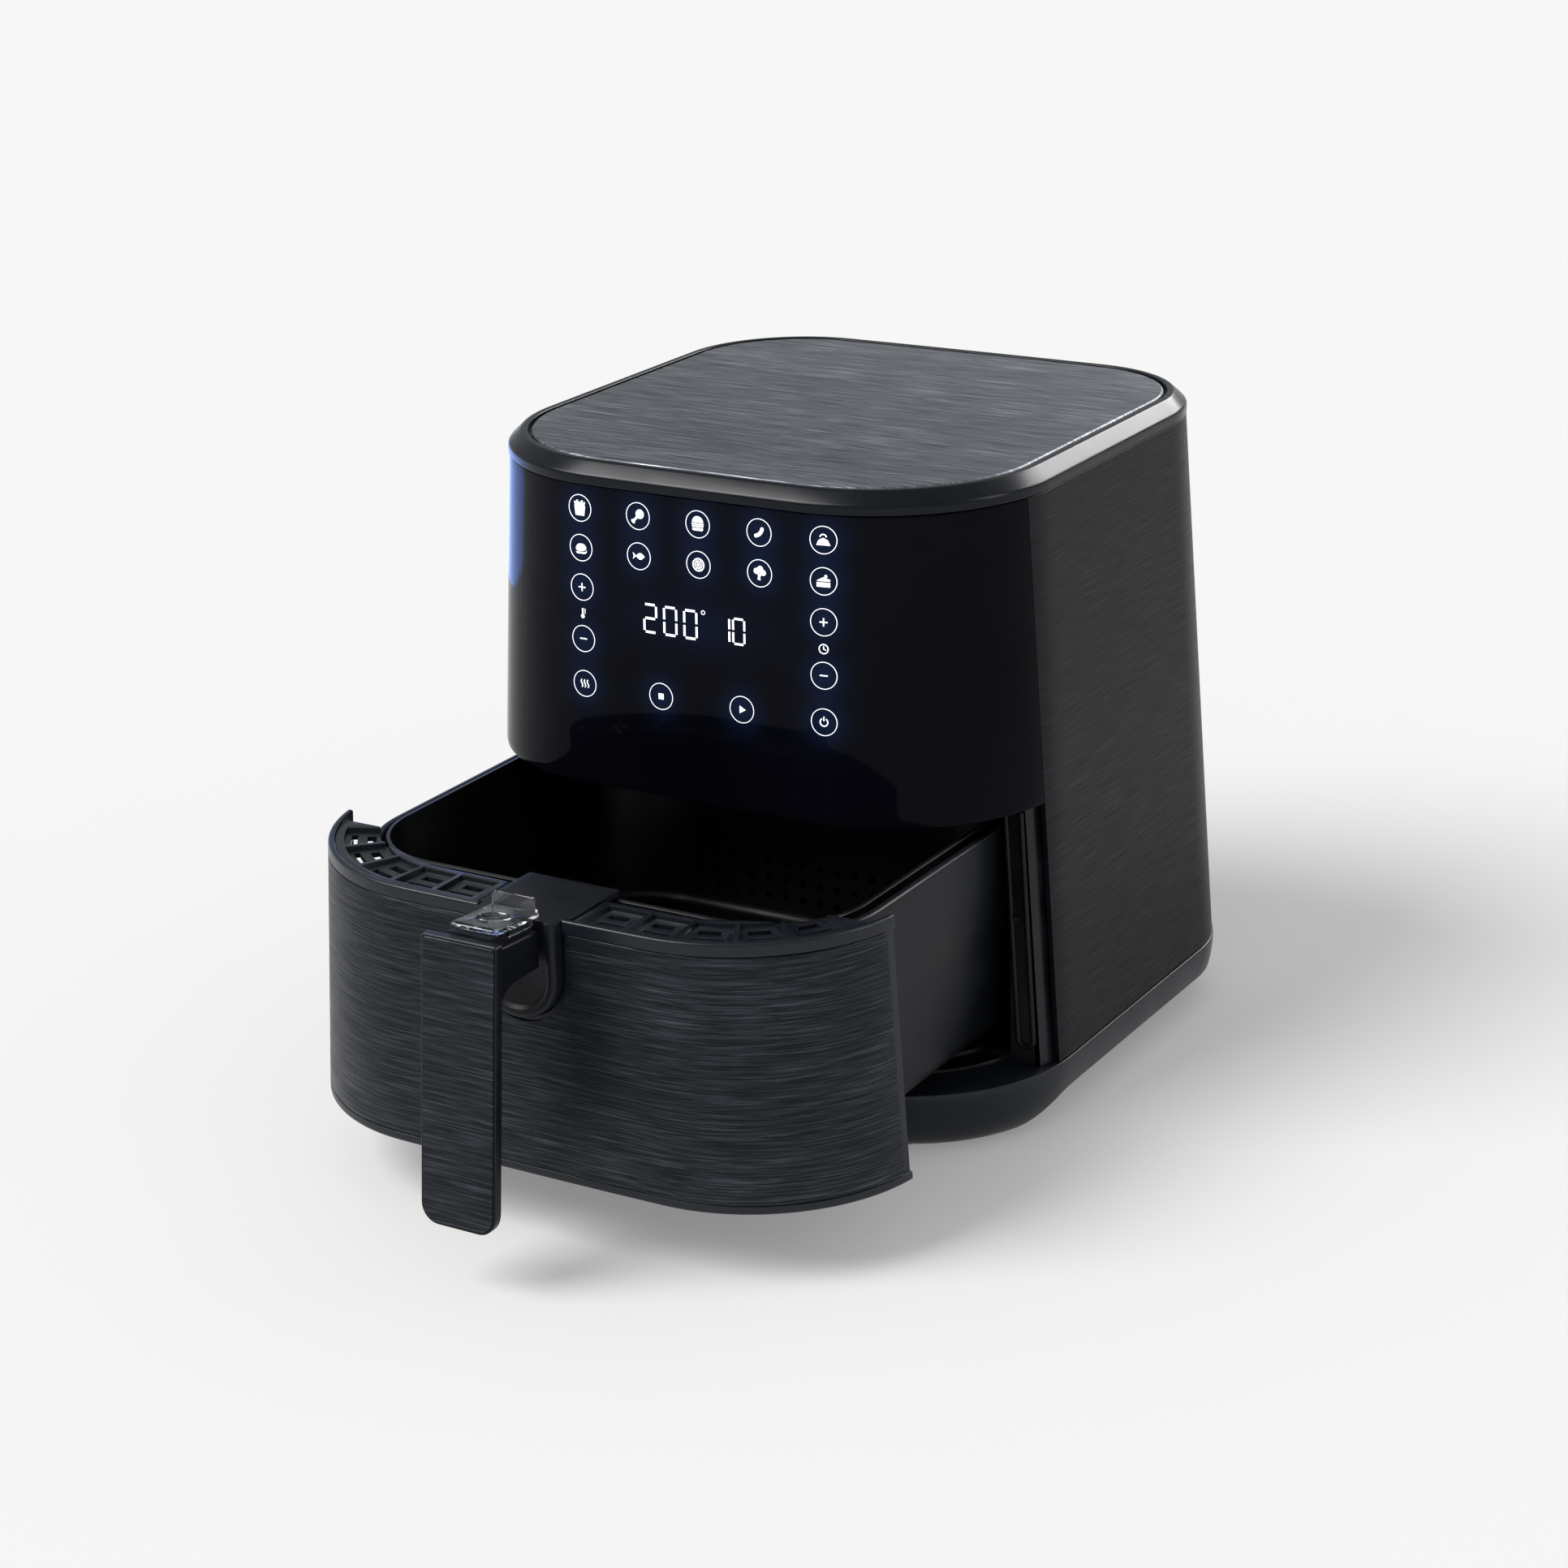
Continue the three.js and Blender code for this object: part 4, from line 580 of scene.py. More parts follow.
LOOKS = {
    "skin": brushed("brushed_skin", (0.0058, 0.0076, 0.0112), (0.108, 0.122, 0.144)),
    "handle": brushed("brushed_handle", (0.0055, 0.0072, 0.0108), (0.1, 0.113, 0.135)),
    "plate": brushed("brushed_top", (0.046, 0.054, 0.068), (0.62, 0.66, 0.72)),
    "wrap": brushed(
        "brushed_wrap", (0.0016, 0.0022, 0.0034), (0.02, 0.024, 0.031), 0.3, Specular_IOR_Level=0.12
    ),
    "plastic": moulded("satin_plastic", (0.005, 0.0062, 0.009), (0.034, 0.04, 0.05)),
    "rim": moulded("satin_rim", (0.0075, 0.0095, 0.0145), (0.05, 0.06, 0.078), (0.26, 0.38), level=0.3),
    "ring": moulded("satin_ring", (0.005, 0.0065, 0.01), (0.05, 0.06, 0.08), (0.2, 0.3), level=0.16),
    "mould": moulded("frame_plastic", (0.0022, 0.0025, 0.0033), (0.02, 0.023, 0.029), (0.22, 0.34)),
    "panel": gloss_panel(),
    "symbol": lit_symbol(),
    "glass": moulded("display_glass", (0.004, 0.004, 0.005), (0.008, 0.008, 0.01), (0.08, 0.14), 0.02),
    "pan": coated(
        "pan_coating", (0.004, 0.005, 0.0075), (0.012, 0.0145, 0.02), (0.36, 0.5), 0.25, level=0.22
    ),
    "basket": coated("basket_coating", (0.004, 0.0044, 0.0055), (0.014, 0.0155, 0.019), (0.26, 0.42), 0.25),
    "liner": coated("liner_coating", (0.003, 0.0033, 0.004), (0.01, 0.0108, 0.0125), (0.4, 0.55), 0.3),
    "steel": steel("bright_steel", (0.34, 0.34, 0.35), (0.72, 0.72, 0.73)),
    "heater": steel("heater_sheath", (0.08, 0.07, 0.06), (0.24, 0.21, 0.18), (0.35, 0.55)),
    "rubber": rubber("rubber_pad", (0.012, 0.012, 0.013), (0.03, 0.03, 0.032)),
    "silicone": rubber("silicone_pad", (0.02, 0.02, 0.021), (0.045, 0.045, 0.047)),
    "clear": clear_plastic(),
    "circuit": circuit(),
}
LOOK_OF_SLOT = {
    "satin_plastic": "plastic",
    "rubber_pad": "rubber",
    "silicone_pad": "silicone",
    "wrap_finish": "wrap",
    "brushed_skin": "skin",
    "gloss_panel": "panel",
    "display_glass": "glass",
    "circuit_board": "circuit",
    "nonstick_coating": "basket",
    "liner_steel": "liner",
    "bright_steel": "steel",
    "heater_sheath": "heater",
    "clear_guard": "clear",
}


def dress_cad_nodes():
    """Every CAD node that stays takes the detailed material of its slot."""
    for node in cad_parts.values():
        for holder in node.material_slots:
            known = [slot for slot in LOOK_OF_SLOT if slot in holder.material.name]
            holder.material = LOOKS[LOOK_OF_SLOT[known[0]]] if known else LOOKS["plastic"]


# ---------------------------------------------------------------- base, wrap, ring and plate


def base_under(y):
    """Height of the base's lower edge: a low chin at the front that sweeps up to the side arch."""
    chin_end = FRONT + 46 * MM
    arch, run = 14 * MM, 44 * MM
    share = min(1.0, max(0.0, (y - chin_end) / run))
    return base_low.z + arch * share * share * (3 - 2 * share)


def base_inset(z):
    """The base's side drops upright and then curves in, as a quarter of an ellipse."""
    tuck = 13.5 * MM
    drop = base_high.z - z
    share = drop / (base_high.z - base_low.z)
    return SIDE_LEAN * drop + tuck * (1 - math.sqrt(max(0.0, 1 - share * share)))


def build_base():
    top = base_high.z
    edge = 0.8 * MM
    levels = 14
    columns = []
    for step in STEPS:
        low = base_under(outline_point(step, base_low.z, 0)[1])
        heights = [low + (top - edge - low) * (i / levels) ** 1.4 for i in range(levels + 1)]
        profile = [(top - WALL, base_inset(top - WALL) + WALL), (low, base_inset(low) + WALL)]
        profile += [(z, base_inset(z)) for z in heights]
        profile += [(top - edge * 0.3, edge * 0.3), (top, edge)]
        columns.append([(*outline_point(step, z, inset), z) for z, inset in profile])
    rows = [list(row) for row in zip(*columns)]
    form = Form().grid(rows, wrap_columns=True, caps=("rows",))
    for name in ("foot_1", "foot_2", "foot_3", "foot_4"):
        low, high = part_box(name)
        centre = (low + high) / 2
        radius = (high.x - low.x) / 2 + 2 * MM
        profile = rectangle(0, radius, high.z + GAP, top - 2 * WALL)
        if centre.y < MIDDLE:
            lathe(form, profile, (centre.x, centre.y))
    piece(("base_shell", form), "housing", LOOKS["rim"], ["base_tray"])


def slot_outline(x0, x1, z0, z1):
    """A slot with round ends, in front view."""
    radius = (z1 - z0) / 2
    middle = (z0 + z1) / 2
    right = arc(x1 - radius, middle, radius, -math.pi / 2, math.pi / 2, 6)
    left = arc(x0 + radius, middle, radius, math.pi / 2, 1.5 * math.pi, 6)
    return right + left


def through_y(form, points, y0, y1):
    """A front-view outline of (x, z) points, extruded along Y."""
    return layered(form, [(y0, points), (y1, points)], lambda x, z, y: (x, y, z))


def build_wrap_and_vent():
    wall = 2.2 * MM
    section = rectangle(wrap_low.z, wrap_high.z, WRAP_INSET, WRAP_INSET + wall)
    form = band(Form(), rounded(section, 0.6 * MM, 3), lambda x, y: y - SEAM, 220)
    wrap = object_of("side_wrap_skin", form)
    vent_low, vent_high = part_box("rear_vent_panel")
    lip = 6.2 * MM
    x0, x1 = vent_low.x + lip, vent_high.x - lip
    z0, z1 = vent_low.z + lip, vent_high.z - lip
    corners = rounded(rectangle(x0, x1, z0, z1), 4 * MM, 6)
    opening = through_y(Form(), corners, MIDDLE, REAR + 10 * MM)
    gland_low, gland_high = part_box("cord_gland")
    gland = (gland_low + gland_high) / 2
    hole = 8 * MM
    lathe(opening, rectangle(0, hole, MIDDLE, REAR), (gland.x, gland.z), axis="y")
    combine(wrap, opening)
    piece(wrap, "housing", LOOKS["wrap"], ["side_wrap"])

    inset = WRAP_INSET + 0.8 * MM
    inner = rectangle(z0 + GAP, z1 - GAP, inset, inset + wall)
    side = x1 - GAP
    within = lambda x, y: min(side - abs(x), y - MIDDLE)
    vent = object_of("rear_vent_louvres", band(Form(), rounded(inner, 0.5 * MM, 3), within, 60))
    rows = 9
    pitch = (z1 - z0 - 12 * MM) / rows
    heights = [z0 + 6 * MM + (row + 0.5) * pitch for row in range(rows)]
    slots = Form()
    for z in heights:
        for left, right in ((x0 + 8 * MM, -4 * MM), (4 * MM, x1 - 8 * MM)):
            points = slot_outline(left, right, z - pitch / 4, z + pitch / 4)
            through_y(slots, points, MIDDLE, REAR + 10 * MM)
    combine(vent, slots)
    soften(vent, 0.35 * MM)
    slat = Form()
    depth, thick = 5 * MM, 1.1 * MM
    rear_step = STEPS[len(STEPS) // 2]
    for z in heights:
        for left, right in ((x0 + 7 * MM, -3 * MM), (3 * MM, x1 - 7 * MM)):
            y = outline_point(rear_step, z, inset + wall + 0.3 * MM)[1]
            inner_end, outer_end = z + pitch * 0.42, z - pitch * 0.2
            slant = [(y - depth, inner_end), (y, outer_end)]
            slant += [(y, outer_end - thick), (y - depth, inner_end - thick)]
            layered(slat, [(left, slant), (right, slant)], lambda a, b, x: (x, a, b))
    combine(vent, slat, "UNION")
    piece(vent, "housing", LOOKS["plastic"], ["rear_vent_panel"])


def build_ring_and_plate():
    bottom, top = ring_low.z, ring_high.z
    width = 9.5 * MM
    chamfer = 6.2 * MM
    floor = plate_low.z - GAP
    section = [
        (bottom, 0.3 * MM),
        (top - 6 * MM, 0),
        (top, chamfer),
        (top, width),
        (floor, width),
        (floor, width + 7 * MM),
        (bottom, width + 7 * MM),
    ]
    radii = [0.5 * MM, 1.3 * MM, 1.1 * MM, 0.9 * MM, 0.3 * MM, 0.3 * MM, 0.3 * MM]
    form = loop(Form(), rounded(section, radii, 5))
    piece(("top_ring_band", form), "housing", LOOKS["ring"], ["top_ring"], 60)

    inset = width + 1.8 * MM
    edge = 1.2 * MM
    levels = [(plate_low.z, inset + 0.3 * MM), (plate_low.z + 0.3 * MM, inset)]
    for i in range(6):
        angle = i / 5 * math.pi / 2
        levels.append((plate_high.z - edge * (1 - math.sin(angle)), inset + edge * (1 - math.cos(angle))))
    form = Form()
    stack(form, [(z, outline(z, at)) for z, at in levels])
    form.uvs = [(x, y) for x, y, _ in form.points]
    piece(("top_plate_skin", form), "housing", LOOKS["plate"], ["top_plate"], 50)


# ---------------------------------------------------------------- front panel and its symbols

SYMBOL_RADIUS = 6.5 * MM
RING_LINE = 0.32 * MM
COLUMNS = [-65 * MM, -32.5 * MM, 0.0, 32.5 * MM, 65 * MM]
FOOD_ROWS = [298 * MM, 279 * MM]
PLUS_Z, LABEL_Z, MINUS_Z, LAST_Z = 260 * MM, 247.5 * MM, 235 * MM, 213 * MM
DIGITS_Z = 250 * MM
START_X = 22 * MM
PRINT_X = 5 * MM  # the printed symbols sit a little to the right


def panel_y(x, z):
    """Y of the panel's face at (x, z)."""
    half = HALF - SIDE_LEAN * z - WRAP_INSET
    radius = FRONT_CORNER - WRAP_INSET
    y = FRONT - MIDDLE + FRONT_LEAN * z + WRAP_INSET
    past = abs(x) - (half - radius)
    if past > 0:
        y += radius - math.sqrt(max(0.0, radius * radius - past * past))
    y -= FRONT_BOW * (x / half) ** 2 * y / ((REAR - FRONT) / 2)
    return MIDDLE + y


class Print:
    """Flat shapes laid on the panel's face, drawn in units of `size` about a centre."""

    def __init__(self):
        self.form = Form()
        self.at(0, 0, 1)

    def at(self, x, z, size):
        self.x, self.z, self.size = x + PRINT_X, z, size
        return self

    def shape(self, points):
        lift, sink = 0.12 * MM, 0.1 * MM
        flat = [(self.x + a * self.size, self.z + b * self.size) for a, b in points]
        place = lambda x, z, depth: (x, panel_y(x, z) + depth, z)
        layered(self.form, [(-lift, flat), (sink, flat)], place)

    def hoop(self, radius, line, start=0.0, end=2 * math.pi, steps=40, centre=(0, 0)):
        outer = arc(*centre, radius, start, end, steps)
        inner = arc(*centre, radius - line, start, end, steps)
        for i in range(steps):
            self.shape([outer[i], outer[i + 1], inner[i + 1], inner[i]])

    def disc(self, x, z, radius, steps=16, flat=1.0):
        self.shape([(a, z + (b - z) * flat) for a, b in arc(x, z, radius, 0, 2 * math.pi, steps)[:-1]])

    def stroke(self, start, end, width):
        along = Vector((end[0] - start[0], end[1] - start[1])).normalized() * width / 2
        nx, nz = -along.y, along.x
        corners = ((start, 1), (end, 1), (end, -1), (start, -1))
        self.shape([(x + side * nx, z + side * nz) for (x, z), side in corners])


def draw_chips(p):
    p.shape([(-0.46, -0.66), (0.46, -0.66), (0.58, 0.22), (-0.58, 0.22)])
    for i in range(5):
        x = -0.46 + i * 0.23
        p.stroke((x * 0.9, 0.26), (x * 1.15, 0.56 + 0.14 * (i % 2)), 0.17)


def draw_drumstick(p):
    p.disc(0.2, 0.2, 0.42, 18)
    p.stroke((0.0, 0.0), (-0.42, -0.42), 0.2)
    p.disc(-0.44, -0.56, 0.13)
    p.disc(-0.56, -0.44, 0.13)


def draw_burger(p):
    p.shape(arc(0, 0.16, 0.56, 0, math.pi, 14))
    p.stroke((-0.6, 0.02), (0.6, 0.02), 0.12)
    p.stroke((-0.56, -0.17), (0.56, -0.17), 0.14)
    p.shape(rounded([(-0.56, -0.32), (0.56, -0.32), (0.5, -0.56), (-0.5, -0.56)], 0.1, 3))


def draw_sausage(p):
    centre, start, end = (-0.5, 0.5), -1.35, -0.22
    bend = arc(*centre, 0.98, start, end, 12)
    inner = arc(*centre, 0.66, start, end, 12)
    for i in range(12):
        p.shape([bend[i], bend[i + 1], inner[i + 1], inner[i]])
    for x, z in arc(*centre, 0.82, start, end, 1):
        p.disc(x, z, 0.16)


def draw_turnover(p):
    p.shape([(-0.62, -0.46), (0.62, -0.46), (0.42, -0.02), (0.0, 0.2), (-0.42, -0.02)])
    p.hoop(0.34, 0.1, 0.2, math.pi - 0.2, 12, (0.0, 0.2))


def draw_steak(p):
    top = [(-0.6, -0.1), (-0.3, 0.36), (0.34, 0.38), (0.64, 0.0), (0.4, -0.24), (-0.4, -0.32)]
    edge = [(-0.56, -0.4), (0.5, -0.34), (0.62, -0.14), (0.6, -0.42), (0.4, -0.52), (-0.4, -0.54)]
    p.shape(rounded(top, 0.22, 4))
    p.shape(rounded(edge, 0.05, 2))


def draw_fish(p):
    top = [(-0.3 + 0.9 * t, 0.3 * math.sin(math.pi * t)) for t in (0, 0.2, 0.4, 0.6, 0.8, 1.0)]
    low = [(-0.3 + 0.9 * t, -0.3 * math.sin(math.pi * t)) for t in (0.8, 0.6, 0.4, 0.2)]
    p.shape(top + low)
    p.shape([(-0.26, 0.0), (-0.62, 0.3), (-0.52, 0.0), (-0.62, -0.3)])


def draw_pizza(p):
    p.hoop(0.6, 0.12, steps=28)
    for turn in range(6):
        angle = turn * math.pi / 3
        cos, sin = math.cos(angle), math.sin(angle)
        p.stroke((0.04 * cos, 0.04 * sin), (0.5 * cos, 0.5 * sin), 0.07)
        middle = angle + math.pi / 6
        p.disc(0.32 * math.cos(middle), 0.32 * math.sin(middle), 0.08, 8)


def draw_broccoli(p):
    for x, z, r in ((-0.3, 0.18, 0.27), (0.06, 0.36, 0.3), (0.36, 0.08, 0.26)):
        p.disc(x, z, r, 14)
    p.shape([(-0.2, 0.0), (0.28, -0.04), (0.06, -0.28), (0.08, -0.6), (-0.2, -0.56), (-0.14, -0.26)])


def draw_cake(p):
    p.shape(rectangle(-0.6, 0.6, -0.1, -0.5))
    p.shape([(-0.6, 0.0), (0.6, 0.0), (0.6, 0.16), (0.0, 0.36), (-0.5, 0.1)])
    p.disc(0.22, 0.44, 0.13)


def draw_bars(p, upright):
    p.stroke((-0.36, 0), (0.36, 0), 0.11)
    if upright:
        p.stroke((0, -0.36), (0, -0.055), 0.11)
        p.stroke((0, 0.055), (0, 0.36), 0.11)


def draw_heat(p):
    for x in (-0.32, 0.0, 0.32):
        line = [(x + 0.09 * math.sin(t * math.pi / 2), -0.36 + 0.18 * t) for t in range(5)]
        for a, b in zip(line, line[1:]):
            p.stroke(a, b, 0.1)


def draw_power(p):
    p.hoop(0.4, 0.1, math.pi * 0.68, math.pi * 2.32, 24)
    p.stroke((0, 0.1), (0, 0.5), 0.1)


def draw_stop(p):
    p.shape(rectangle(-0.26, 0.26, -0.26, 0.26))


def draw_start(p):
    p.shape([(-0.22, -0.34), (0.38, 0.0), (-0.22, 0.34)])


def draw_thermometer(p):
    p.disc(0, -0.34, 0.22, 16)
    p.stroke((0, -0.2), (0, 0.5), 0.18)
    for z in (0.02, 0.22, 0.42):
        p.stroke((0.2, z), (0.36, z), 0.08)


def draw_clock(p):
    p.hoop(0.5, 0.1, steps=28)
    p.stroke((0, -0.04), (0, 0.3), 0.09)
    p.stroke((0.0, 0.0), (0.24, -0.1), 0.09)


FOOD = [
    [draw_chips, draw_drumstick, draw_burger, draw_sausage, draw_turnover],
    [draw_steak, draw_fish, draw_pizza, draw_broccoli, draw_cake],
]
SEGMENTS_OF = {"0": "abcdef", "1": "bc", "2": "abged"}


def draw_digit(p, digit):
    """One seven-segment digit, 1 wide and 2 tall about its centre."""
    line, gap = 0.17, 0.1
    ends = {
        "a": ((-0.5, 1), (0.5, 1)),
        "b": ((0.5, 1), (0.5, 0)),
        "c": ((0.5, 0), (0.5, -1)),
        "d": ((-0.5, -1), (0.5, -1)),
        "e": ((-0.5, 0), (-0.5, -1)),
        "f": ((-0.5, 1), (-0.5, 0)),
        "g": ((-0.5, 0), (0.5, 0)),
    }
    for name in SEGMENTS_OF[digit]:
        start, end = ends[name]
        share = gap / math.dist(start, end)
        p.stroke(mix(start, end, share), mix(end, start, share), line)


def symbol_places():
    """Every ringed symbol as (x, z, drawing)."""
    places = [(x, z, FOOD[row][i]) for row, z in enumerate(FOOD_ROWS) for i, x in enumerate(COLUMNS)]
    left, right = COLUMNS[0], COLUMNS[-1]
    for x, last in ((left, draw_heat), (right, draw_power)):
        places.append((x, PLUS_Z, lambda p: draw_bars(p, True)))
        places.append((x, MINUS_Z, lambda p: draw_bars(p, False)))
        places.append((x, LAST_Z, last))
    places.append((-START_X, LAST_Z, draw_stop))
    places.append((START_X, LAST_Z, draw_start))
    return places


def build_symbols(places):
    prints = Print()
    for x, z, draw in places:
        prints.at(x, z, 1).hoop(SYMBOL_RADIUS, RING_LINE)
        draw(prints.at(x, z, SYMBOL_RADIUS * 0.82))
    draw_thermometer(prints.at(COLUMNS[0], LABEL_Z, 4.6 * MM))
    draw_clock(prints.at(COLUMNS[-1], LABEL_Z, 4.8 * MM))
    tall = 6.6 * MM
    for digit, x in zip("20010", (-27 * MM, -16 * MM, -5 * MM, 13 * MM, 21 * MM)):
        draw_digit(prints.at(x, DIGITS_Z, tall if x < 0 else tall * 0.9), digit)
    prints.at(2 * MM, DIGITS_Z + tall, 1 * MM).hoop(1.1, 0.35, steps=12)
    piece(("panel_symbols", prints.form), "housing", LOOKS["symbol"])


def build_panel():
    z0, z1 = panel_low.z, panel_high.z
    rows = 64  # close enough for the halo, which is held by the points
    face = [(z0 + (z1 - z0) * i / rows, WRAP_INSET) for i in range(rows + 1)]
    edge = 1.1 * MM
    lower = [(z0, WRAP_INSET + edge), (z0 + 0.32 * MM, WRAP_INSET + 0.32 * MM)]
    upper = [(z1 - 0.2 * MM, WRAP_INSET + 0.2 * MM), (z1, WRAP_INSET + 0.7 * MM)]
    back = [(z1, WRAP_INSET + WALL), (z0, WRAP_INSET + WALL)]
    section = lower + face[1:-1] + upper + back
    form = band(Form(), section, lambda x, y: SEAM - GAP - y, 240)
    panel = piece(("front_panel_gloss", form), "housing", LOOKS["panel"], ["front_panel"], 40)
    places = symbol_places()
    build_symbols(places)
    halo = panel.data.attributes.new("halo", "FLOAT", "POINT")
    reach = 9.5 * MM
    for vertex in panel.data.vertices:
        x, y, z = vertex.co
        if y > MIDDLE - 60 * MM or abs(x) > 95 * MM:
            continue
        total = sum(math.exp(-((x - PRINT_X - a) ** 2 + (z - b) ** 2) / reach**2) for a, b, _ in places)
        total += 0.5 * math.exp(-((x / (34 * MM)) ** 2) - ((z - DIGITS_Z) / (12 * MM)) ** 2)
        halo.data[vertex.index].value = min(1.0, total)


# ---------------------------------------------------------------- moulding behind the panel

FRAME_INSET = WRAP_INSET + WALL + RUN
FRAME_FRONT = SEAM - 9 * MM
FRAME_WALL = 2.5 * MM


def edge_x(z, inset, y):
    """Half the outline's width where it crosses y, in the front half."""
    return stretch(outline(z, inset), lambda a, b: y - b)[-1][0]


def build_front_mould():
    liner_low, liner_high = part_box("cavity_liner")
    mouth = liner_high.x - SHEET
    bottom, top = mould_low.z, mould_high.z
    floor = liner_low.z + SHEET
    ceiling = liner_high.z - SHEET
    rear = FRAME_FRONT + FRAME_WALL
    form = Form()

    def wall(x_in, z0, z1, side, steps=8):
        heights = [z0 + (z1 - z0) * i / steps for i in range(steps + 1)]
        outer = [(side * edge_x(z, FRAME_INSET, FRAME_FRONT), z) for z in heights]
        through_y(form, [(x_in, z0), *outer, (x_in, z1)], FRAME_FRONT, rear)

    for side in (-1, 1):
        wall(side * mouth, floor, ceiling, side)
        wall(0, bottom, floor, side, 1)
        wall(0, ceiling, top, side, 4)
        section = rectangle(bottom, top, FRAME_INSET, FRAME_INSET + FRAME_WALL)
        within = lambda x, y: min(side * x, y - FRAME_FRONT, SEAM + 14 * MM - y)
        band(form, section, within, 20)
        build_frame_bead(form, side, mouth)
    shelf_inset = WRAP_INSET + WALL + GAP
    shelf_z = ceiling + 0.4 * MM
    ahead = lambda x, y: FRAME_FRONT + 1 * MM - y
    front_part = lambda z, inset: stretch(outline(z, inset), ahead)
    stack(form, [(z, front_part(z, shelf_inset)) for z in (shelf_z, shelf_z + 2.5 * MM)])
    for inset, low, high in ((18 * MM, 0, 2 * MM), (30 * MM, 1 * MM, 4 * MM)):
        levels = [(bottom + low, 0), (bottom + high - 0.6 * MM, 0)]
        levels += [(bottom + high - 0.18 * MM, 0.18 * MM), (bottom + high, 0.6 * MM)]
        stack(form, [(z, front_part(z, FRAME_INSET + inset + more)) for z, more in levels])
    piece(("front_moulding", form), "housing", LOOKS["mould"], ["front_frame"])


def build_frame_bead(form, side, mouth):
    """The U-shaped raised bead on the moulding beside the drawer's opening."""
    middle = side * (mouth + 8.2 * MM)
    half = 4 * MM
    low, high = mould_low.z + 9 * MM, shell_high.z + 1 * MM
    lean = SIDE_LEAN * (high - low)
    points = [(middle - half - side * lean, high), (middle - half, low + half)]
    points += arc(middle, low + half, half, math.pi, 2 * math.pi, 10)[1:]
    points += [(middle + half - side * lean, high)]
    tube(form, [(x, FRAME_FRONT, z) for x, z in points], 1.5 * MM, 12)


# ---------------------------------------------------------------- drawer front

HANDLE_CUT = 22.5 * MM
CUT_BOTTOM = 111 * MM


def cut_outline(half, bottom, top, steps=24):
    """Front view of the handle's U-shaped cut, open at the top."""
    return [(half, top), *arc(0, bottom + half, half, 0, -math.pi, steps), (-half, top)]


def build_drawer_front():
    end = SEAM - RUN
    side_strip = 5 * MM
    inset = WRAP_INSET
    recess = inset + 1.2 * MM
    z0, z1 = shell_low.z, shell_high.z
    s0, s1 = skin_low.z - GAP, skin_high.z + GAP
    section = [
        (z0, inset),
        (s0, inset),
        (s0, recess),
        (s1, recess),
        (s1, inset),
        (z1, inset),
        (z1, inset + WALL),
        (z0, inset + WALL),
    ]
    radii = [1.2 * MM, 0.35 * MM, 0.1 * MM, 0.1 * MM, 0.35 * MM, 1.3 * MM, 1.1 * MM, 0.6 * MM]
    form = band(Form(), rounded(section, radii, 5), lambda x, y: end - y, 260, DRAWER_OPEN)
    strip = rounded(rectangle(z0 + 1 * MM, z1 - 1 * MM, inset, recess + 1 * MM), 0.3 * MM, 3)
    for side in (-1, 1):
        within = lambda x, y: min(side * x, y - end + side_strip, end - y)
        band(form, strip, within, 8, DRAWER_OPEN)
    shell = object_of("drawer_shell", form)
    through = (shell_low.y - 10 * MM, shell_low.y + 30 * MM)
    handle_cut = cut_outline(HANDLE_CUT, CUT_BOTTOM, z1 + 20 * MM)
    combine(shell, through_y(Form(), handle_cut, *through))
    piece(shell, "drawer", LOOKS["rim"], ["drawer_front"], 40)

    thick = 0.8 * MM
    sheet = rectangle(skin_low.z, skin_high.z, inset, inset + thick)
    stop = end - side_strip - GAP
    form = band(Form(), rounded(sheet, 0.25 * MM, 3), lambda x, y: stop - y, 260, DRAWER_OPEN)
    skin = object_of("drawer_skin", form)
    room = 2 * MM
    wider_cut = cut_outline(HANDLE_CUT + room, CUT_BOTTOM - room, z1 + 20 * MM)
    combine(skin, through_y(Form(), wider_cut, *through))
    piece(skin, "drawer", LOOKS["skin"], ["front_skin"], 40)


# ---------------------------------------------------------------- drawer grilles

GRILLE_OUTER = WRAP_INSET + WALL + GAP
GRILLE_WIDTH = 27 * MM
GRILLE_CELLS = 5


def pan_outline(z, inset, steps=18):
    """The pan's rounded outline; it leans in towards the floor."""
    lean = 0.05 * (pan_high.z - z)
    rim = 3 * MM
    half = pan_high.x - rim - lean - inset
    front = pan_low.y + rim + lean + inset
    rear = pan_high.y - rim - lean - inset
    radius = 50 * MM - inset
    quarter = math.pi / 2
    centres = [rear - radius, rear - radius, front + radius, front + radius]
    points = []
    for turn, (side, y) in enumerate(zip((1, -1, -1, 1), centres)):
        points += arc(side * (half - radius), y, radius, turn * quarter, (turn + 1) * quarter, steps)
    return points


def grille_lane():
    """A function from a share of the right grille's length and an inset to a point on it."""
    last = FRONT_STEPS // 2 + CORNER_STEPS
    z = grille_high.z
    middle = GRILLE_OUTER + GRILLE_WIDTH / 2

    def at(step, inset):
        low = min(int(step), last - 1)
        a = outline_point(STEPS[low], z, inset)
        b = outline_point(STEPS[low + 1], z, inset)
        return mix(a, b, step - low)

    grain = 40
    stops, length = [], 0.0
    start, end = grille_low.x + 3 * MM, grille_high.y + DRAWER_OPEN - 3 * MM
    for i in range(last * grain):
        step = i / grain
        x, y = at(step, middle)
        if x < start or y > end:
            continue
        stops.append((length, step))
        length += math.dist((x, y), at(step + 1 / grain, middle))

    def lane(share, inset):
        goal = share * stops[-1][0]
        step = next((s for done, s in stops if done >= goal), stops[-1][1])
        x, y = at(step, inset)
        return (x, y - DRAWER_OPEN)

    return lane


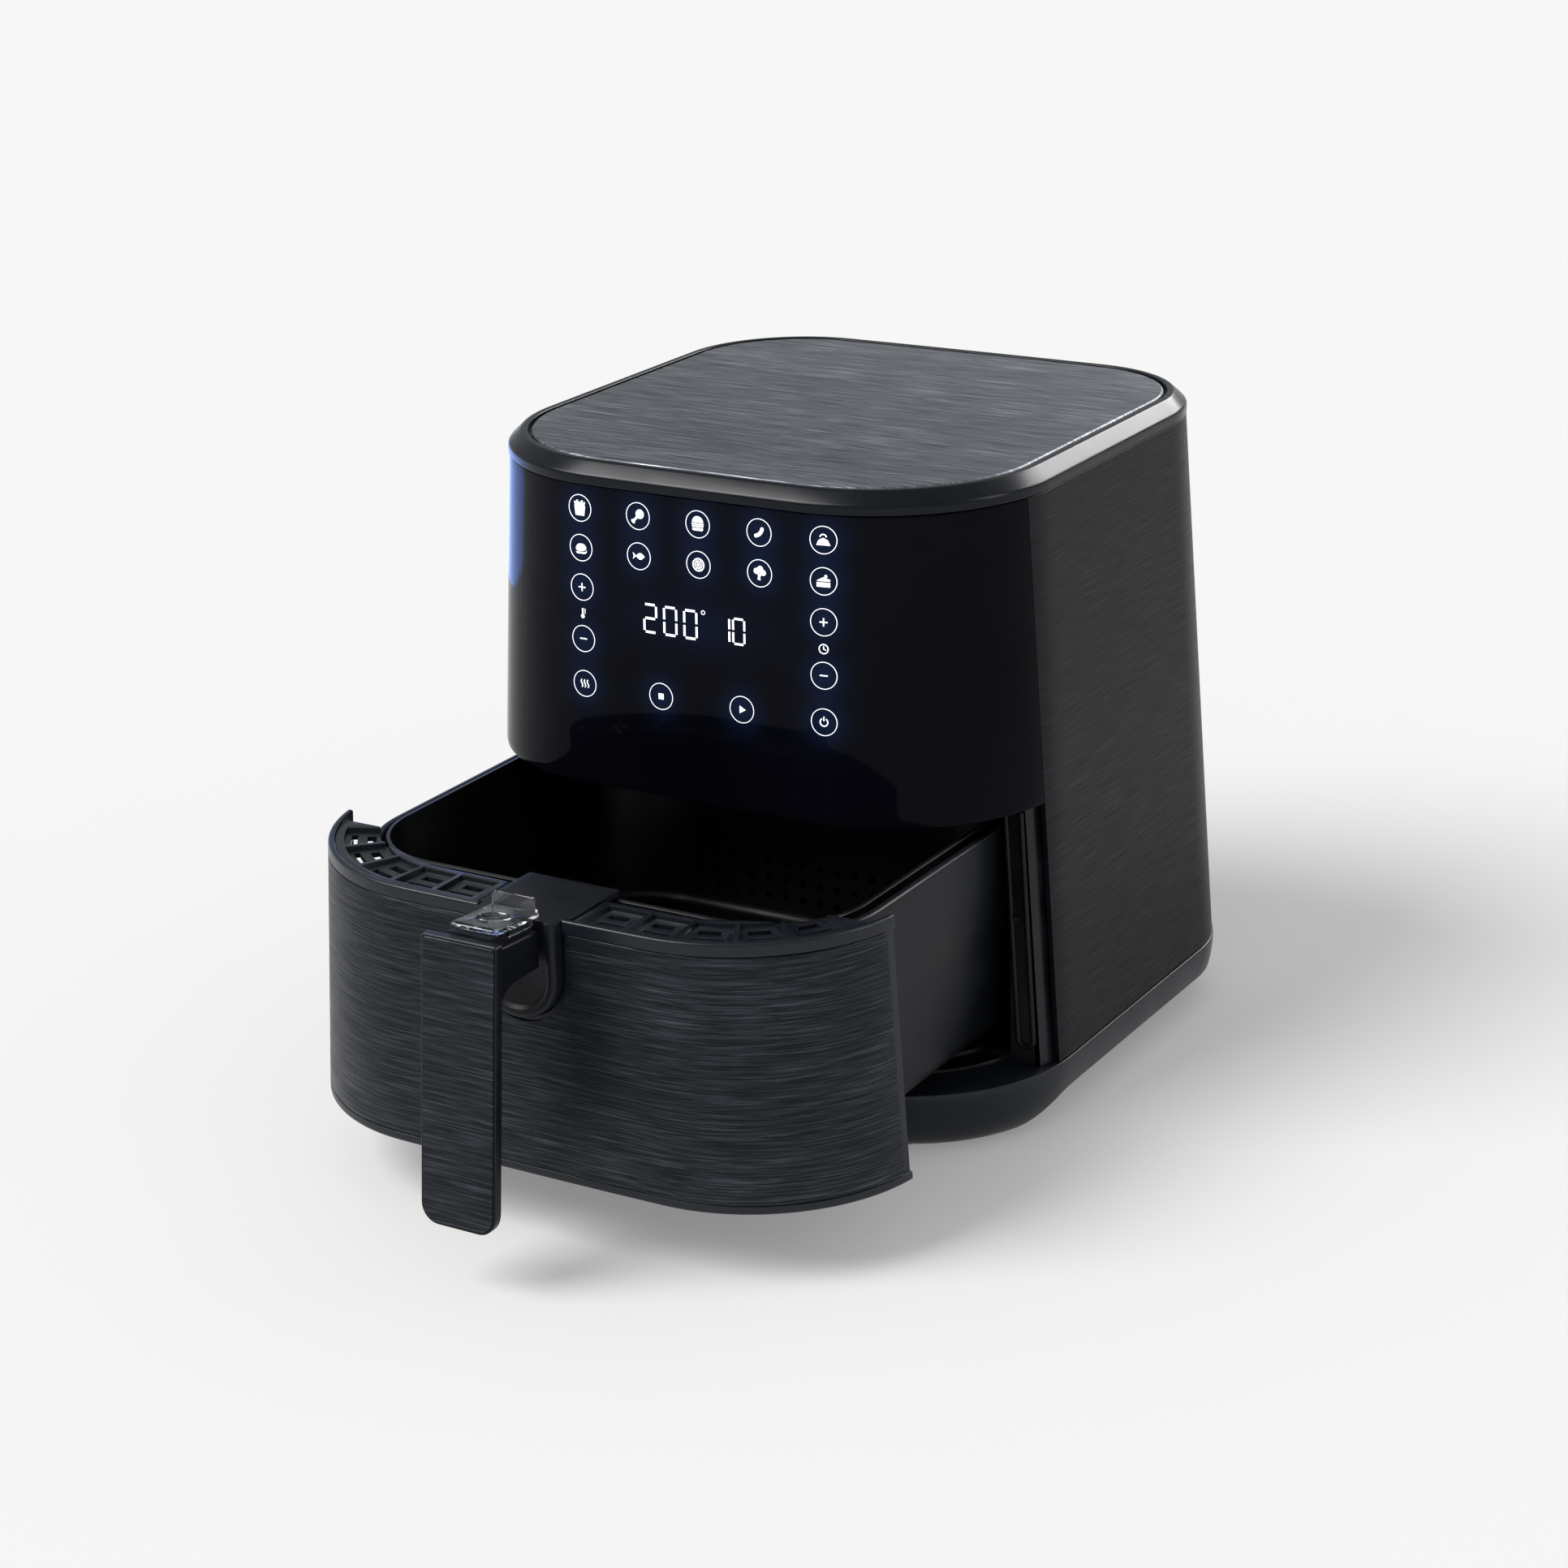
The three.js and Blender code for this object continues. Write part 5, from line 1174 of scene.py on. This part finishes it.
def build_grille(side, lane):
    name = "grille_left" if side < 0 else "grille_right"
    low, high = grille_low.z, grille_high.z
    reach = lambda x, y: min(side * x - grille_low.x, grille_high.y + DRAWER_OPEN - y)
    outer = stretch(outline(high, GRILLE_OUTER), reach)
    inner = stretch(outline(high, GRILLE_OUTER + GRILLE_WIDTH), reach)
    moved = [(x, y - DRAWER_OPEN) for x, y in resample(outer, 70) + resample(inner, 60)[::-1]]
    made = object_of(f"vent_{name}", stack(Form(), [(low, moved), (high, moved)]))
    room = Form()
    stack(room, [(z, pan_outline(z, SHEET)) for z in (low - WALL, high + WALL)])
    combine(made, room)

    def patch(form, start, end, near, far, z0, z1, steps=10):
        shares = [start + (end - start) * i / steps for i in range(steps + 1)]
        line = [lane(s, GRILLE_OUTER + near) for s in shares]
        line += [lane(s, GRILLE_OUTER + far) for s in reversed(shares)]
        stack(form, [(z, [(side * x, y) for x, y in line]) for z in (z0, z1)])

    cells, slots = Form(), Form()
    for cell in range(GRILLE_CELLS):
        start, end = (cell + 0.05) / GRILLE_CELLS, (cell + 0.95) / GRILLE_CELLS
        trim = 0.17 / GRILLE_CELLS
        patch(cells, start, end, 4 * MM, GRILLE_WIDTH - 3.6 * MM, high - 2 * MM, high + WALL)
        patch(slots, start + trim, end - trim, 7 * MM, 10 * MM, low - WALL, high + WALL)
        patch(slots, start + trim, end - trim * 1.6, 14.5 * MM, 18.8 * MM, low - WALL, high + WALL)
    combine(made, cells)
    combine(made, slots)
    soften(made, 0.4 * MM)
    piece(made, "drawer", LOOKS["rim"], [name])


# ---------------------------------------------------------------- pan and basket


def foot_curve(floor, foot, thick, steps):
    """Quarter round between a dish's floor and its wall, as (z, inset), `thick` in from its outside."""
    angles = [i / steps * math.pi / 2 for i in range(steps + 1)]
    return [(floor + thick + foot * (1 - math.cos(a)), thick + foot * (1 - math.sin(a))) for a in angles]


def build_pan():
    z0, z1 = pan_low.z, pan_high.z
    rim, foot, lip = 3 * MM, 9 * MM, 0.7 * MM
    levels = foot_curve(z0, foot, SHEET, 6)
    levels += [(z1 - lip, SHEET), (z1, SHEET - lip), (z1, -rim + lip), (z1 - lip, -rim)]
    levels += [(z1 - 2 * lip, -rim + lip), (z1 - 2 * lip, lip), (z1 - 3 * lip, 0)]
    levels += reversed(foot_curve(z0, foot, 0, 6))
    form = stack(Form(), [(z, pan_outline(z, inset)) for z, inset in levels])
    piece(("pan_shell", form), "drawer", LOOKS["pan"], ["pan"], 50)


def build_basket():
    z0, z1 = basket_low.z, basket_high.z
    foot, lip = 7 * MM, 0.7 * MM
    levels = foot_curve(z0, foot, SHEET, 5)
    levels += [(z1 - lip, SHEET), (z1 - 0.2 * MM, SHEET - 0.3 * MM), (z1, 0.4 * MM)]
    levels += [(z1 - 0.2 * MM, -1.2 * MM), (z1 - lip, -1.5 * MM), (z1 - 2 * lip, -1.2 * MM)]
    levels += [(z1 - 2 * lip, 0), *reversed(foot_curve(z0, foot, 0, 5))]
    form = stack(Form(), [(z, pan_outline(z, BASKET_SPACE + inset)) for z, inset in levels])
    made = object_of("basket_shell", form)
    middle = (basket_low.y + basket_high.y) / 2
    holes = Form()
    pitch = 10 * MM
    corner_share = 1.72  # holes past this, in shares of the two half lengths, are left out
    columns = int((basket_high.x - 22 * MM) / pitch)
    rows = int(((basket_high.y - basket_low.y) / 2 - 22 * MM) / pitch)
    for column in range(-columns, columns + 1):
        for row in range(-rows, rows + 1):
            if abs(column) / columns + abs(row) / rows > corner_share:
                continue
            rod = rectangle(0, 2.4 * MM, z0 - WALL, z0 + WALL)
            lathe(holes, rod, (column * pitch, middle + row * pitch), 10)
    far = 400 * MM
    heights = [z0 + 14 * MM + i * 9 * MM for i in range(3)]
    for z in heights:
        for column in range(-columns + 3, columns - 2):
            lathe(holes, rectangle(0, 2 * MM, -far, far), (column * pitch, z), 10, axis="y")
    tab = 20.5 * MM
    near = (-tab, basket_low.y - WALL, z1 - 12.5 * MM)
    tab_room = block(Form(), near, (tab, basket_low.y + 1.9 * MM, z1 + WALL))
    combine(made, holes)
    combine(made, tab_room)
    piece(made, "basket", LOOKS["basket"], ["basket"], 40)


# ---------------------------------------------------------------- handle

face_low, face_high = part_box("handle_skin")
grip_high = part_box("handle_grip")[1]
bracket_low, bracket_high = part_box("handle_bracket")
guard_low, guard_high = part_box("button_guard")
button_low, button_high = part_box("release_button")
SKIN = 1 * MM
HANDLE_LEAN = (face_high.y - face_low.y - SKIN) / (face_high.z - face_low.z)
HANDLE_HALF = grip_high.x
GUARD_SLOPE = 0.072
NECK_FRONT = face_high.y - SKIN + 10 * MM
NECK_REAR = grip_high.y
GUARD_TRAVEL = 9 * MM


def face_y(z):
    return face_high.y - SKIN - HANDLE_LEAN * (face_high.z - z)


def handle_outline(inset):
    """Front view of the handle: nearly square at the top and round at the bottom."""
    half = HANDLE_HALF - inset
    low = face_low.z + inset
    top = face_high.z - inset
    radius = 9 * MM - inset
    points = [(half, top - 1.4 * MM), *arc(half - radius, low + radius, radius, 0, -math.pi / 2, 10)]
    points += arc(-half + radius, low + radius, radius, -math.pi / 2, -math.pi, 10)
    points += arc(-half + 1.4 * MM, top - 1.4 * MM, 1.4 * MM, math.pi, math.pi / 2, 5)
    points += arc(half - 1.4 * MM, top - 1.4 * MM, 1.4 * MM, math.pi / 2, 0, 5)[:-1]
    return points


def housing_top(y):
    return face_high.z - GUARD_SLOPE * (y - NECK_FRONT) - 0.4 * MM


def across_x(points, x0, x1):
    """A side-view outline of (y, z) points, extruded along X."""
    return layered(Form(), [(x0, points), (x1, points)], lambda y, z, x: (x, y, z))


def build_handle():
    on_face = lambda x, z, depth: (x, face_y(z) + depth, z)
    profile = [(1.2, 1.3), (0.55, 1.0), (0.4, 0.45), (0.8, 0.0)]
    profile += [(4.6, 0.0), (7.2, 1.6), (9.0, 4.4), (9.9, 8.0)]
    form = layered(Form(), [(d * MM, handle_outline(i * MM)) for d, i in profile], on_face)
    stem = object_of("handle_body", form)

    under = face_high.z - 24 * MM
    fillet = 16 * MM
    half = 15 * MM
    back = face_y(under - fillet) + 9 * MM
    shoulder = lambda y: housing_top(y) - 4 * MM
    side_view = [(NECK_FRONT - 4 * MM, shoulder(NECK_FRONT))]
    side_view += [(NECK_REAR, shoulder(NECK_REAR)), (NECK_REAR, under)]
    side_view += arc(back + fillet, under - fillet, fillet, math.pi / 2, math.pi, 16)
    side_view += [(back - 4 * MM, under - fillet - 2 * MM)]
    neck = object_of("neck", across_x(side_view, -half, half))
    soften(neck, 2.6 * MM, 5)
    top_half = 11.2 * MM
    roof = [
        (NECK_FRONT - 2 * MM, shoulder(NECK_FRONT) - 2 * MM),
        (NECK_REAR, shoulder(NECK_REAR) - 2 * MM),
        (NECK_REAR, housing_top(NECK_REAR)),
        (NECK_FRONT - 2 * MM, housing_top(NECK_FRONT)),
    ]
    saddle = across_x(roof, -top_half, top_half)
    boolean(stem, neck, "UNION")
    combine(stem, saddle, "UNION")
    middle = (button_low.y + button_high.y) / 2
    half_length = (button_high.y - button_low.y) / 2 + RUN
    side = button_high.x + RUN
    well = block(Form(), (-side, middle - half_length, under + 2 * MM), (side, middle + half_length, 1))
    combine(stem, well)
    piece(stem, "basket", LOOKS["plastic"], ["handle_grip"], 40)

    inset = 1.15 * MM
    layers = [(1.0 * MM, inset), (0.3 * MM, inset)]
    layers += [(0.08 * MM, inset + 0.1 * MM), (0.0, inset + 0.4 * MM)]
    form = layered(Form(), [(depth, handle_outline(more)) for depth, more in layers], on_face)
    piece(("handle_face", form), "basket", LOOKS["handle"], ["handle_skin"], 50)


def build_bracket():
    """The U-shaped block in the drawer's cut, with a rounded bead round its front."""
    half = HANDLE_CUT - RUN
    bottom = CUT_BOTTOM + RUN
    top = bracket_high.z
    front = bracket_low.y
    back = front + 26 * MM
    bead = [(2.4, 7.0), (2.2, 6.0), (1.2, 5.2), (0.3, 4.4), (0.0, 3.2), (0.2, 1.8), (0.9, 0.6), (2.2, 0.0)]
    layers = []
    for depth, inset in bead:
        layers.append((front + depth * MM, cut_outline(half - inset * MM, bottom + inset * MM, top)))
    layers.append((back, cut_outline(half, bottom, top)))
    shape = object_of("handle_block", layered(Form(), layers, lambda x, z, y: (x, y, z)))
    plate_half, tab_half = 24 * MM, 20 * MM
    tab_rear = bracket_high.y - 2.4 * MM
    shell_inside = FRONT + FRONT_LEAN * shell_high.z + WRAP_INSET + WALL
    plate_low = (-plate_half, shell_inside + 1.6 * MM - DRAWER_OPEN, basket_high.z + GAP)
    combine(shape, block(Form(), plate_low, (plate_half, bracket_high.y, top)), "UNION")
    tab_low = (-tab_half, tab_rear - 2 * MM, basket_high.z - 12 * MM)
    combine(shape, block(Form(), tab_low, (tab_half, tab_rear, top)), "UNION")
    lever_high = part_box("latch_lever")[1]
    pin_low, pin_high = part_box("latch_pin")
    pin_y, pin_z = (pin_low.y + pin_high.y) / 2, (pin_low.z + pin_high.z) / 2
    side = lever_high.x + 1.2 * MM
    rooms = [
        ((-side, pin_y - 4.6 * MM, 0), (side, back - 3 * MM, top - 8 * MM)),
        ((-side, pin_y, 0), (side, 1, pin_z - 10 * MM)),
        ((-side, -1, lever_high.z - 6 * MM), (side, pin_y, lever_high.z + 2.5 * MM)),
    ]
    for near, far in rooms:
        combine(shape, block(Form(), near, far))
    soften(shape, 0.5 * MM, 3, 50)
    piece(shape, "basket", LOOKS["plastic"], ["handle_bracket"], 40)


def build_button():
    low, high = button_low, button_high
    middle = (low.y + high.y) / 2
    cap_bottom = housing_top(middle) - 8 * MM
    side_view = [
        (low.y, cap_bottom),
        (high.y, cap_bottom),
        (high.y, housing_top(high.y) - 0.3 * MM),
        (low.y, housing_top(low.y) - 0.3 * MM),
    ]
    cap = object_of("button_cap", across_x(side_view, low.x, high.x))
    soften(cap, 1.0 * MM, 4)
    stem_high = (2.6 * MM, middle + 5.5 * MM, cap_bottom + 1 * MM)
    stem = block(Form(), (-2.6 * MM, middle + 1.5 * MM, low.z), stem_high)
    combine(cap, stem, "UNION")
    piece(cap, "release_button", LOOKS["plastic"], ["release_button"])


def build_spring():
    low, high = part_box("release_spring")
    centre = (low + high) / 2
    wire = 0.4 * MM
    radius = (high.x - low.x) / 2 - wire
    turns, steps = 5, 120
    points = []
    for i in range(steps + 1):
        angle = turns * 2 * math.pi * i / steps
        z = low.z + wire + (high.z - low.z - 2 * wire) * i / steps
        points.append((centre.x + radius * math.cos(angle), centre.y + radius * math.sin(angle), z))
    coil = object_of("button_spring", tube(Form(), points, wire, 8))
    piece(coil, "release_button", LOOKS["steel"], ["release_spring"])
    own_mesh(coil)


def build_guard():
    """Clear sliding cover: a plate with a round dish and a ridge, a rear flange and a front lip."""
    half = guard_high.x
    front, rear = guard_low.y, guard_high.y
    slope = lambda y: housing_top(y) + GAP
    thick = 2.2 * MM
    on_plate = lambda x, y, lift: (x, y, slope(y) + lift)
    edge = 0.5 * MM
    corners = rounded(rectangle(-half, half, front, rear), 1.6 * MM, 5)
    smaller = rounded(rectangle(-half + edge, half - edge, front + edge, rear - edge), 1.3 * MM, 5)
    layers = [(0, smaller), (0.3 * MM, corners), (thick - 0.4 * MM, corners), (thick, smaller)]
    made = object_of("clear_guard", layered(Form(), layers, on_plate))
    centre_y = (front + rear) / 2 - 1 * MM
    radius = 8.5 * MM
    bowl = Form()
    rows = []
    rings = 8
    for i in range(rings + 1):
        share = i / rings
        lift = thick - 1.5 * MM * (1 - share**2) if i < rings else thick + 1 * MM
        circle = arc(0, centre_y, max(radius * share, 0.05 * MM), 0, 2 * math.pi, 40)[:-1]
        rows.append([on_plate(x, y, lift) for x, y in circle])
    bowl.grid(rows, wrap_columns=True, caps=("rows",))
    combine(made, bowl)
    ridge = Form()
    line = [(-radius * 0.8, -radius * 0.45), (radius * 0.8, radius * 0.45)]
    tube(ridge, [on_plate(x, centre_y + y, thick - 0.7 * MM) for x, y in line], 0.9 * MM, 12)
    combine(made, ridge, "UNION")
    flange_half = half - 1 * MM
    standing = lambda x, lift, y: (x, y, slope(y) + lift)
    stand = rounded(rectangle(-flange_half, flange_half, 0.5 * MM, 8.4 * MM), [0, 0, 2 * MM, 2 * MM], 5)
    flange = layered(Form(), [(rear - 1.7 * MM, stand), (rear - 0.1 * MM, stand)], standing)
    combine(made, flange, "UNION")
    lip = Form()
    lip_ends = (-half + 2 * MM, half - 2 * MM)
    tube(lip, [on_plate(x, front + 1.4 * MM, thick) for x in lip_ends], 0.9 * MM, 12)
    combine(made, lip, "UNION")
    skirts = Form()
    for side in (-1, 1):
        inner, outer = side * (half - 0.8 * MM), side * (half - 0.05 * MM)
        skirt = rectangle(inner, outer, -2.8 * MM, 0.4 * MM)
        ends = [(NECK_FRONT + GUARD_TRAVEL + RUN, skirt), (NECK_REAR - 1 * MM, skirt)]
        layered(skirts, ends, standing)
    combine(made, skirts, "UNION")
    piece(made, "button_guard", LOOKS["clear"], ["button_guard"], 30)


# ---------------------------------------------------------------- camera, floor and light


def build_camera():
    azimuth, elevation, roll = math.radians(31.21), math.radians(19.72), math.radians(-1.57)
    target = Vector((-8.88, 46.80, 140.41)) * MM
    distance = 1.722
    back = Vector(
        (
            math.sin(azimuth) * math.cos(elevation),
            -math.cos(azimuth) * math.cos(elevation),
            math.sin(elevation),
        )
    )
    right = Vector((0, 0, 1)).cross(back).normalized()
    up = back.cross(right)
    turned_right = right * math.cos(roll) + up * math.sin(roll)
    turned_up = up * math.cos(roll) - right * math.sin(roll)
    camera = bpy.data.objects.new("camera", bpy.data.cameras.new("camera"))
    camera.data.lens = 80.08
    camera.data.sensor_width = 36
    camera.data.clip_end = 100
    axes = Matrix((turned_right, turned_up, back)).transposed()
    camera.matrix_world = Matrix.Translation(target + back * distance) @ axes.to_4x4()
    scene.collection.objects.link(camera)
    scene.camera = camera


def area_light(name, place, aim, size, power, colour=(1, 1, 1)):
    """A soft box that only shows in reflections, so that the floor stays even."""
    light = bpy.data.lights.new(name, "AREA")
    light.shape = "RECTANGLE"
    light.size, light.size_y = size
    light.energy = power
    light.color = colour
    made = bpy.data.objects.new(name, light)
    made.location = place
    made.rotation_euler = (Vector(place) - Vector(aim)).to_track_quat("Z", "Y").to_euler()
    made.visible_camera = False
    made.visible_diffuse = False
    scene.collection.objects.link(made)


def build_studio():
    mesh = bpy.data.meshes.new("floor")
    reach = 30
    corners = [(x, y, 0) for x, y in rectangle(-reach, reach, -reach, reach)]
    mesh.from_pydata(corners, [], [(0, 1, 2, 3)])
    floor = bpy.data.objects.new("floor", mesh)
    scene.collection.objects.link(floor)
    look = Look("floor", Roughness=0.9, Specular_IOR_Level=0.0)
    paper = look.noise(look.place(False, (1, 1, 1)), 3, detail=3.0)
    look.feed("Base Color", look.blend(paper, (0.745, 0.745, 0.75), (0.755, 0.755, 0.76)))
    look.shader.inputs["Emission Color"].default_value = (1, 1, 1, 1)
    look.shader.inputs["Emission Strength"].default_value = 0.225
    floor.data.materials.append(look.material)

    world = bpy.data.worlds.new("studio")
    scene.world = world
    world.use_nodes = True
    background = world.node_tree.nodes["Background"]
    background.inputs["Color"].default_value = (0.98, 0.99, 1.0, 1)
    background.inputs["Strength"].default_value = 0.42

    sun = bpy.data.objects.new("sun", bpy.data.lights.new("sun", "SUN"))
    sun.data.energy = 2.25
    sun.data.angle = math.radians(34)
    sun.data.color = (1.0, 0.985, 0.96)
    sun.rotation_euler = Vector((-0.75, -0.95, 1.35)).to_track_quat("Z", "Y").to_euler()
    scene.collection.objects.link(sun)

    aim = (0, 0.05, 0.15)
    area_light("key", (-1.5, -1.0, 2.0), aim, (1.2, 1.2), 42)
    area_light("back", (0.7, 1.9, 1.3), aim, (1.8, 0.9), 60)
    area_light("left_card", (-0.6, 0.42, 0.15), (-0.1, 0.0, 0.15), (0.9, 0.16), 1.1, (0.09, 0.28, 1.0))
    area_light("right", (1.9, 0.3, 1.0), aim, (0.5, 1.2), 9)
    scene.view_settings.view_transform = "Standard"
    scene.view_settings.look = "None"


# ---------------------------------------------------------------- the whole

dress_cad_nodes()
build_base()
build_wrap_and_vent()
build_ring_and_plate()
build_panel()
build_front_mould()
build_drawer_front()
right_lane = grille_lane()
for grille_side in (-1, 1):
    build_grille(grille_side, right_lane)
build_pan()
build_basket()
build_handle()
build_bracket()
build_button()
build_spring()
build_guard()
build_camera()
build_studio()
